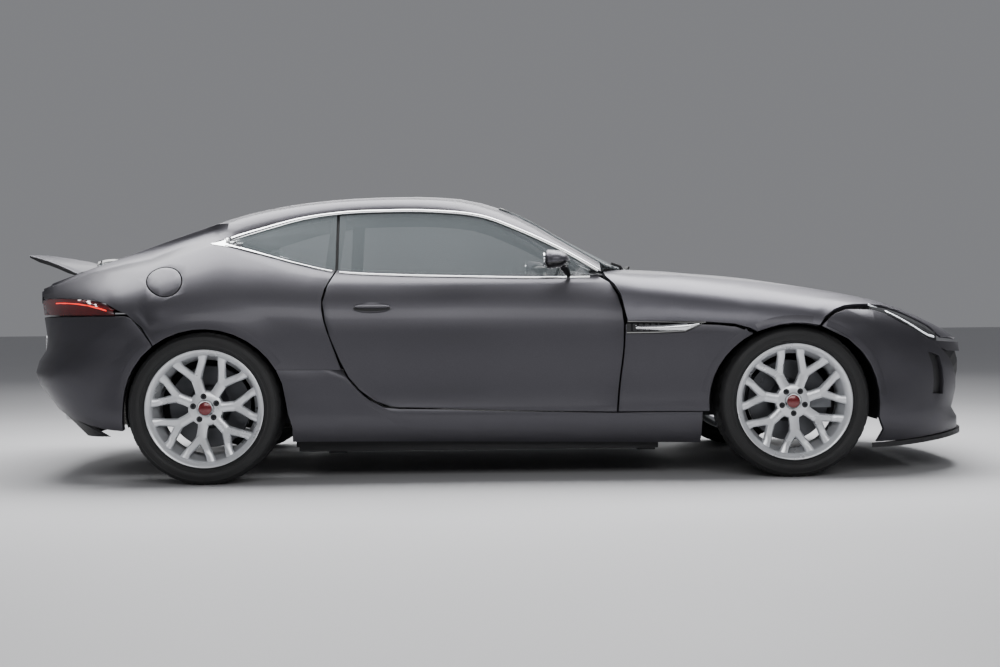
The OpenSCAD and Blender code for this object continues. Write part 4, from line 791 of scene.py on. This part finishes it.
# ---- seats: crowned leather pads with sewn channels, inside the space the CAD seats hold
def pad(name, size, frame_at, channels, crown, groove=0.006):
    """A closed pad of size (x, y, z) about its middle; frame_at places it in the row frame."""
    bm = bmesh.new()
    bmesh.ops.create_cube(bm, size=2.0)
    bmesh.ops.subdivide_edges(bm, edges=bm.edges[:], cuts=15, use_grid_fill=True)
    for vert in bm.verts:
        x, y, z = vert.co
        k = (abs(x) ** 7 + abs(y) ** 7 + abs(z) ** 7) ** (-1 / 7)
        x, y, z = x * k, y * k, z * k
        pull = 1 - 0.03 * (1 - abs(x) ** 2) * (abs(y) > 0.8) - 0.03 * (1 - abs(y) ** 2) * (abs(x) > 0.8)
        top = max(z, 0)
        rise = crown * (1 - x * x) * (1 - y * y) * top
        bolster = 0.0
        if abs(y) > 0.62:
            bolster = 0.10 * math.sin(math.pi * min((abs(y) - 0.62) / 0.38, 1)) * top
        seam = 0.0
        for at, axis in channels:
            d = abs((y if axis == "y" else x) - at)
            seam = max(seam, math.exp(-(d / 0.035) ** 2))
        vert.co = Vector((x * pull, y * pull, z + rise + bolster - seam * top * groove / (size[2] / 2)))
    top = max(v.co.z for v in bm.verts)
    for vert in bm.verts:
        vert.co = frame_at @ Vector((vert.co.x * size[0] / 2, vert.co.y * size[1] / 2,
                                     vert.co.z / top * size[2] / 2))
    mesh = bpy.data.meshes.new(name)
    bm.to_mesh(mesh)
    bm.free()
    mesh.materials.append(LEATHER)
    obj = bpy.data.objects.new(name, mesh)
    bpy.context.scene.collection.objects.link(obj)
    apply(obj, "SUBSURF", levels=1)
    smooth(obj, 80)
    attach(obj, "body")
    return obj


for word, side in SIDES.items():
    y = 0.390 * side
    flat = [(-0.6, "y"), (0.6, "y"), (-0.45, "x"), (-0.15, "x"), (0.15, "x"), (0.45, "x")]
    first = pad("seat_cushion_" + word, (0.43, 0.46, 0.155),
                Matrix.Translation((-0.028, y, 0.291)), flat, 0.06)
    if word == "left":
        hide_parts("seats")
    lean = Matrix.Translation((-0.236, y, 0.326)) @ Matrix.Rotation(math.radians(-20), 4, "Y")
    stand = Matrix.Rotation(math.radians(90), 4, "Y")
    back = lean @ Matrix.Translation((-0.070, 0, 0.255)) @ stand
    pad("seat_back_" + word, (0.50, 0.45, 0.115), back, flat, 0.05)
    head = lean @ Matrix.Translation((-0.062, 0, 0.590)) @ stand
    pad("seat_headrest_" + word, (0.150, 0.26, 0.075), head, [(0.0, "x")], 0.08, 0.003)
    rings = []
    parts = []
    for dy in (-0.17, 0.17):
        rings = [[Vector((x, y + dy + b, 0.152 + h)) for b, h in
                  ((-0.022, 0), (-0.022, 0.02), (-0.012, 0.058),
                   (0.012, 0.058), (0.022, 0.02), (0.022, 0))]
                 for x in (-0.215, -0.20, 0.14, 0.155)]
        parts.append(([p for ring in rings for p in ring], shells(rings), 0))
    for dy in (-0.06, 0.06):
        rings = []
        for t in (0.50, 0.53, 0.56):
            p = lean @ Vector((-0.066, dy, t))
            rings.append([p + Vector((0.005 * math.cos(a), 0.005 * math.sin(a), 0))
                          for a in steps(0, 2 * math.pi, 10)[:-1]])
        parts.append(([p for ring in rings for p in ring], shells(rings), 1))
    verts, faces, indices = join(parts)
    piece("seat_frame_" + word, verts, faces, [STEEL, CHROME], "body", "steel", indices)


# ---- camera, floor and light
scene = bpy.context.scene
eye = Vector((-0.193, -7.473, 0.805))
ahead = Vector((0.0256121, 0.99941685, -0.02258264))
right = Vector((0.99962486, -0.02582363, -0.00912562))
up = Vector((0.00970346, 0.02234044, 0.99970333))
camera = bpy.data.objects.new("photo_camera", bpy.data.cameras.new("photo_camera"))
camera.data.lens = 53.3
camera.data.sensor_width = 36
camera.data.clip_end = 200
camera.matrix_world = Matrix(((right.x, up.x, -ahead.x, eye.x), (right.y, up.y, -ahead.y, eye.y),
                              (right.z, up.z, -ahead.z, eye.z), (0, 0, 0, 1)))
scene.collection.objects.link(camera)
scene.camera = camera

# pale studio floor
FLOOR = finish("pale_studio_floor", "#b9b9bb", 0.6, 0.0, (1.5, 0.02), (0.01, 0.03, "Noise"))
mesh = bpy.data.meshes.new("floor")
mesh.from_pydata([(-30, -30, 0), (30, -30, 0), (30, 30, 0), (-30, 30, 0)], [], [(0, 1, 2, 3)])
mesh.materials.append(FLOOR)
floor = bpy.data.objects.new("floor", mesh)
scene.collection.objects.link(floor)


def lamp(name, place, aim, size, power):
    data = bpy.data.lights.new(name, "AREA")
    data.shape = "RECTANGLE"
    data.size, data.size_y = size
    data.energy = power
    obj = bpy.data.objects.new(name, data)
    obj.location = place
    obj.rotation_euler = (Vector(aim) - Vector(place)).to_track_quat("-Z", "Y").to_euler()
    scene.collection.objects.link(obj)


lamp("ceiling_light", (0, 0.4, 3.4), (0, 0, 0.5), (6.5, 2.6), 620)
lamp("camera_side_light", (0.5, -7.0, 3.4), (0, 0, 0.6), (7.0, 2.0), 190)
lamp("far_side_light", (0, 7.0, 3.4), (0, 0, 0.6), (7.0, 2.0), 120)
world = bpy.data.worlds.new("studio")
world.use_nodes = True
world.node_tree.nodes["Background"].inputs["Color"].default_value = linear("#a4a5a9")
world.node_tree.nodes["Background"].inputs["Strength"].default_value = 0.6
scene.world = world
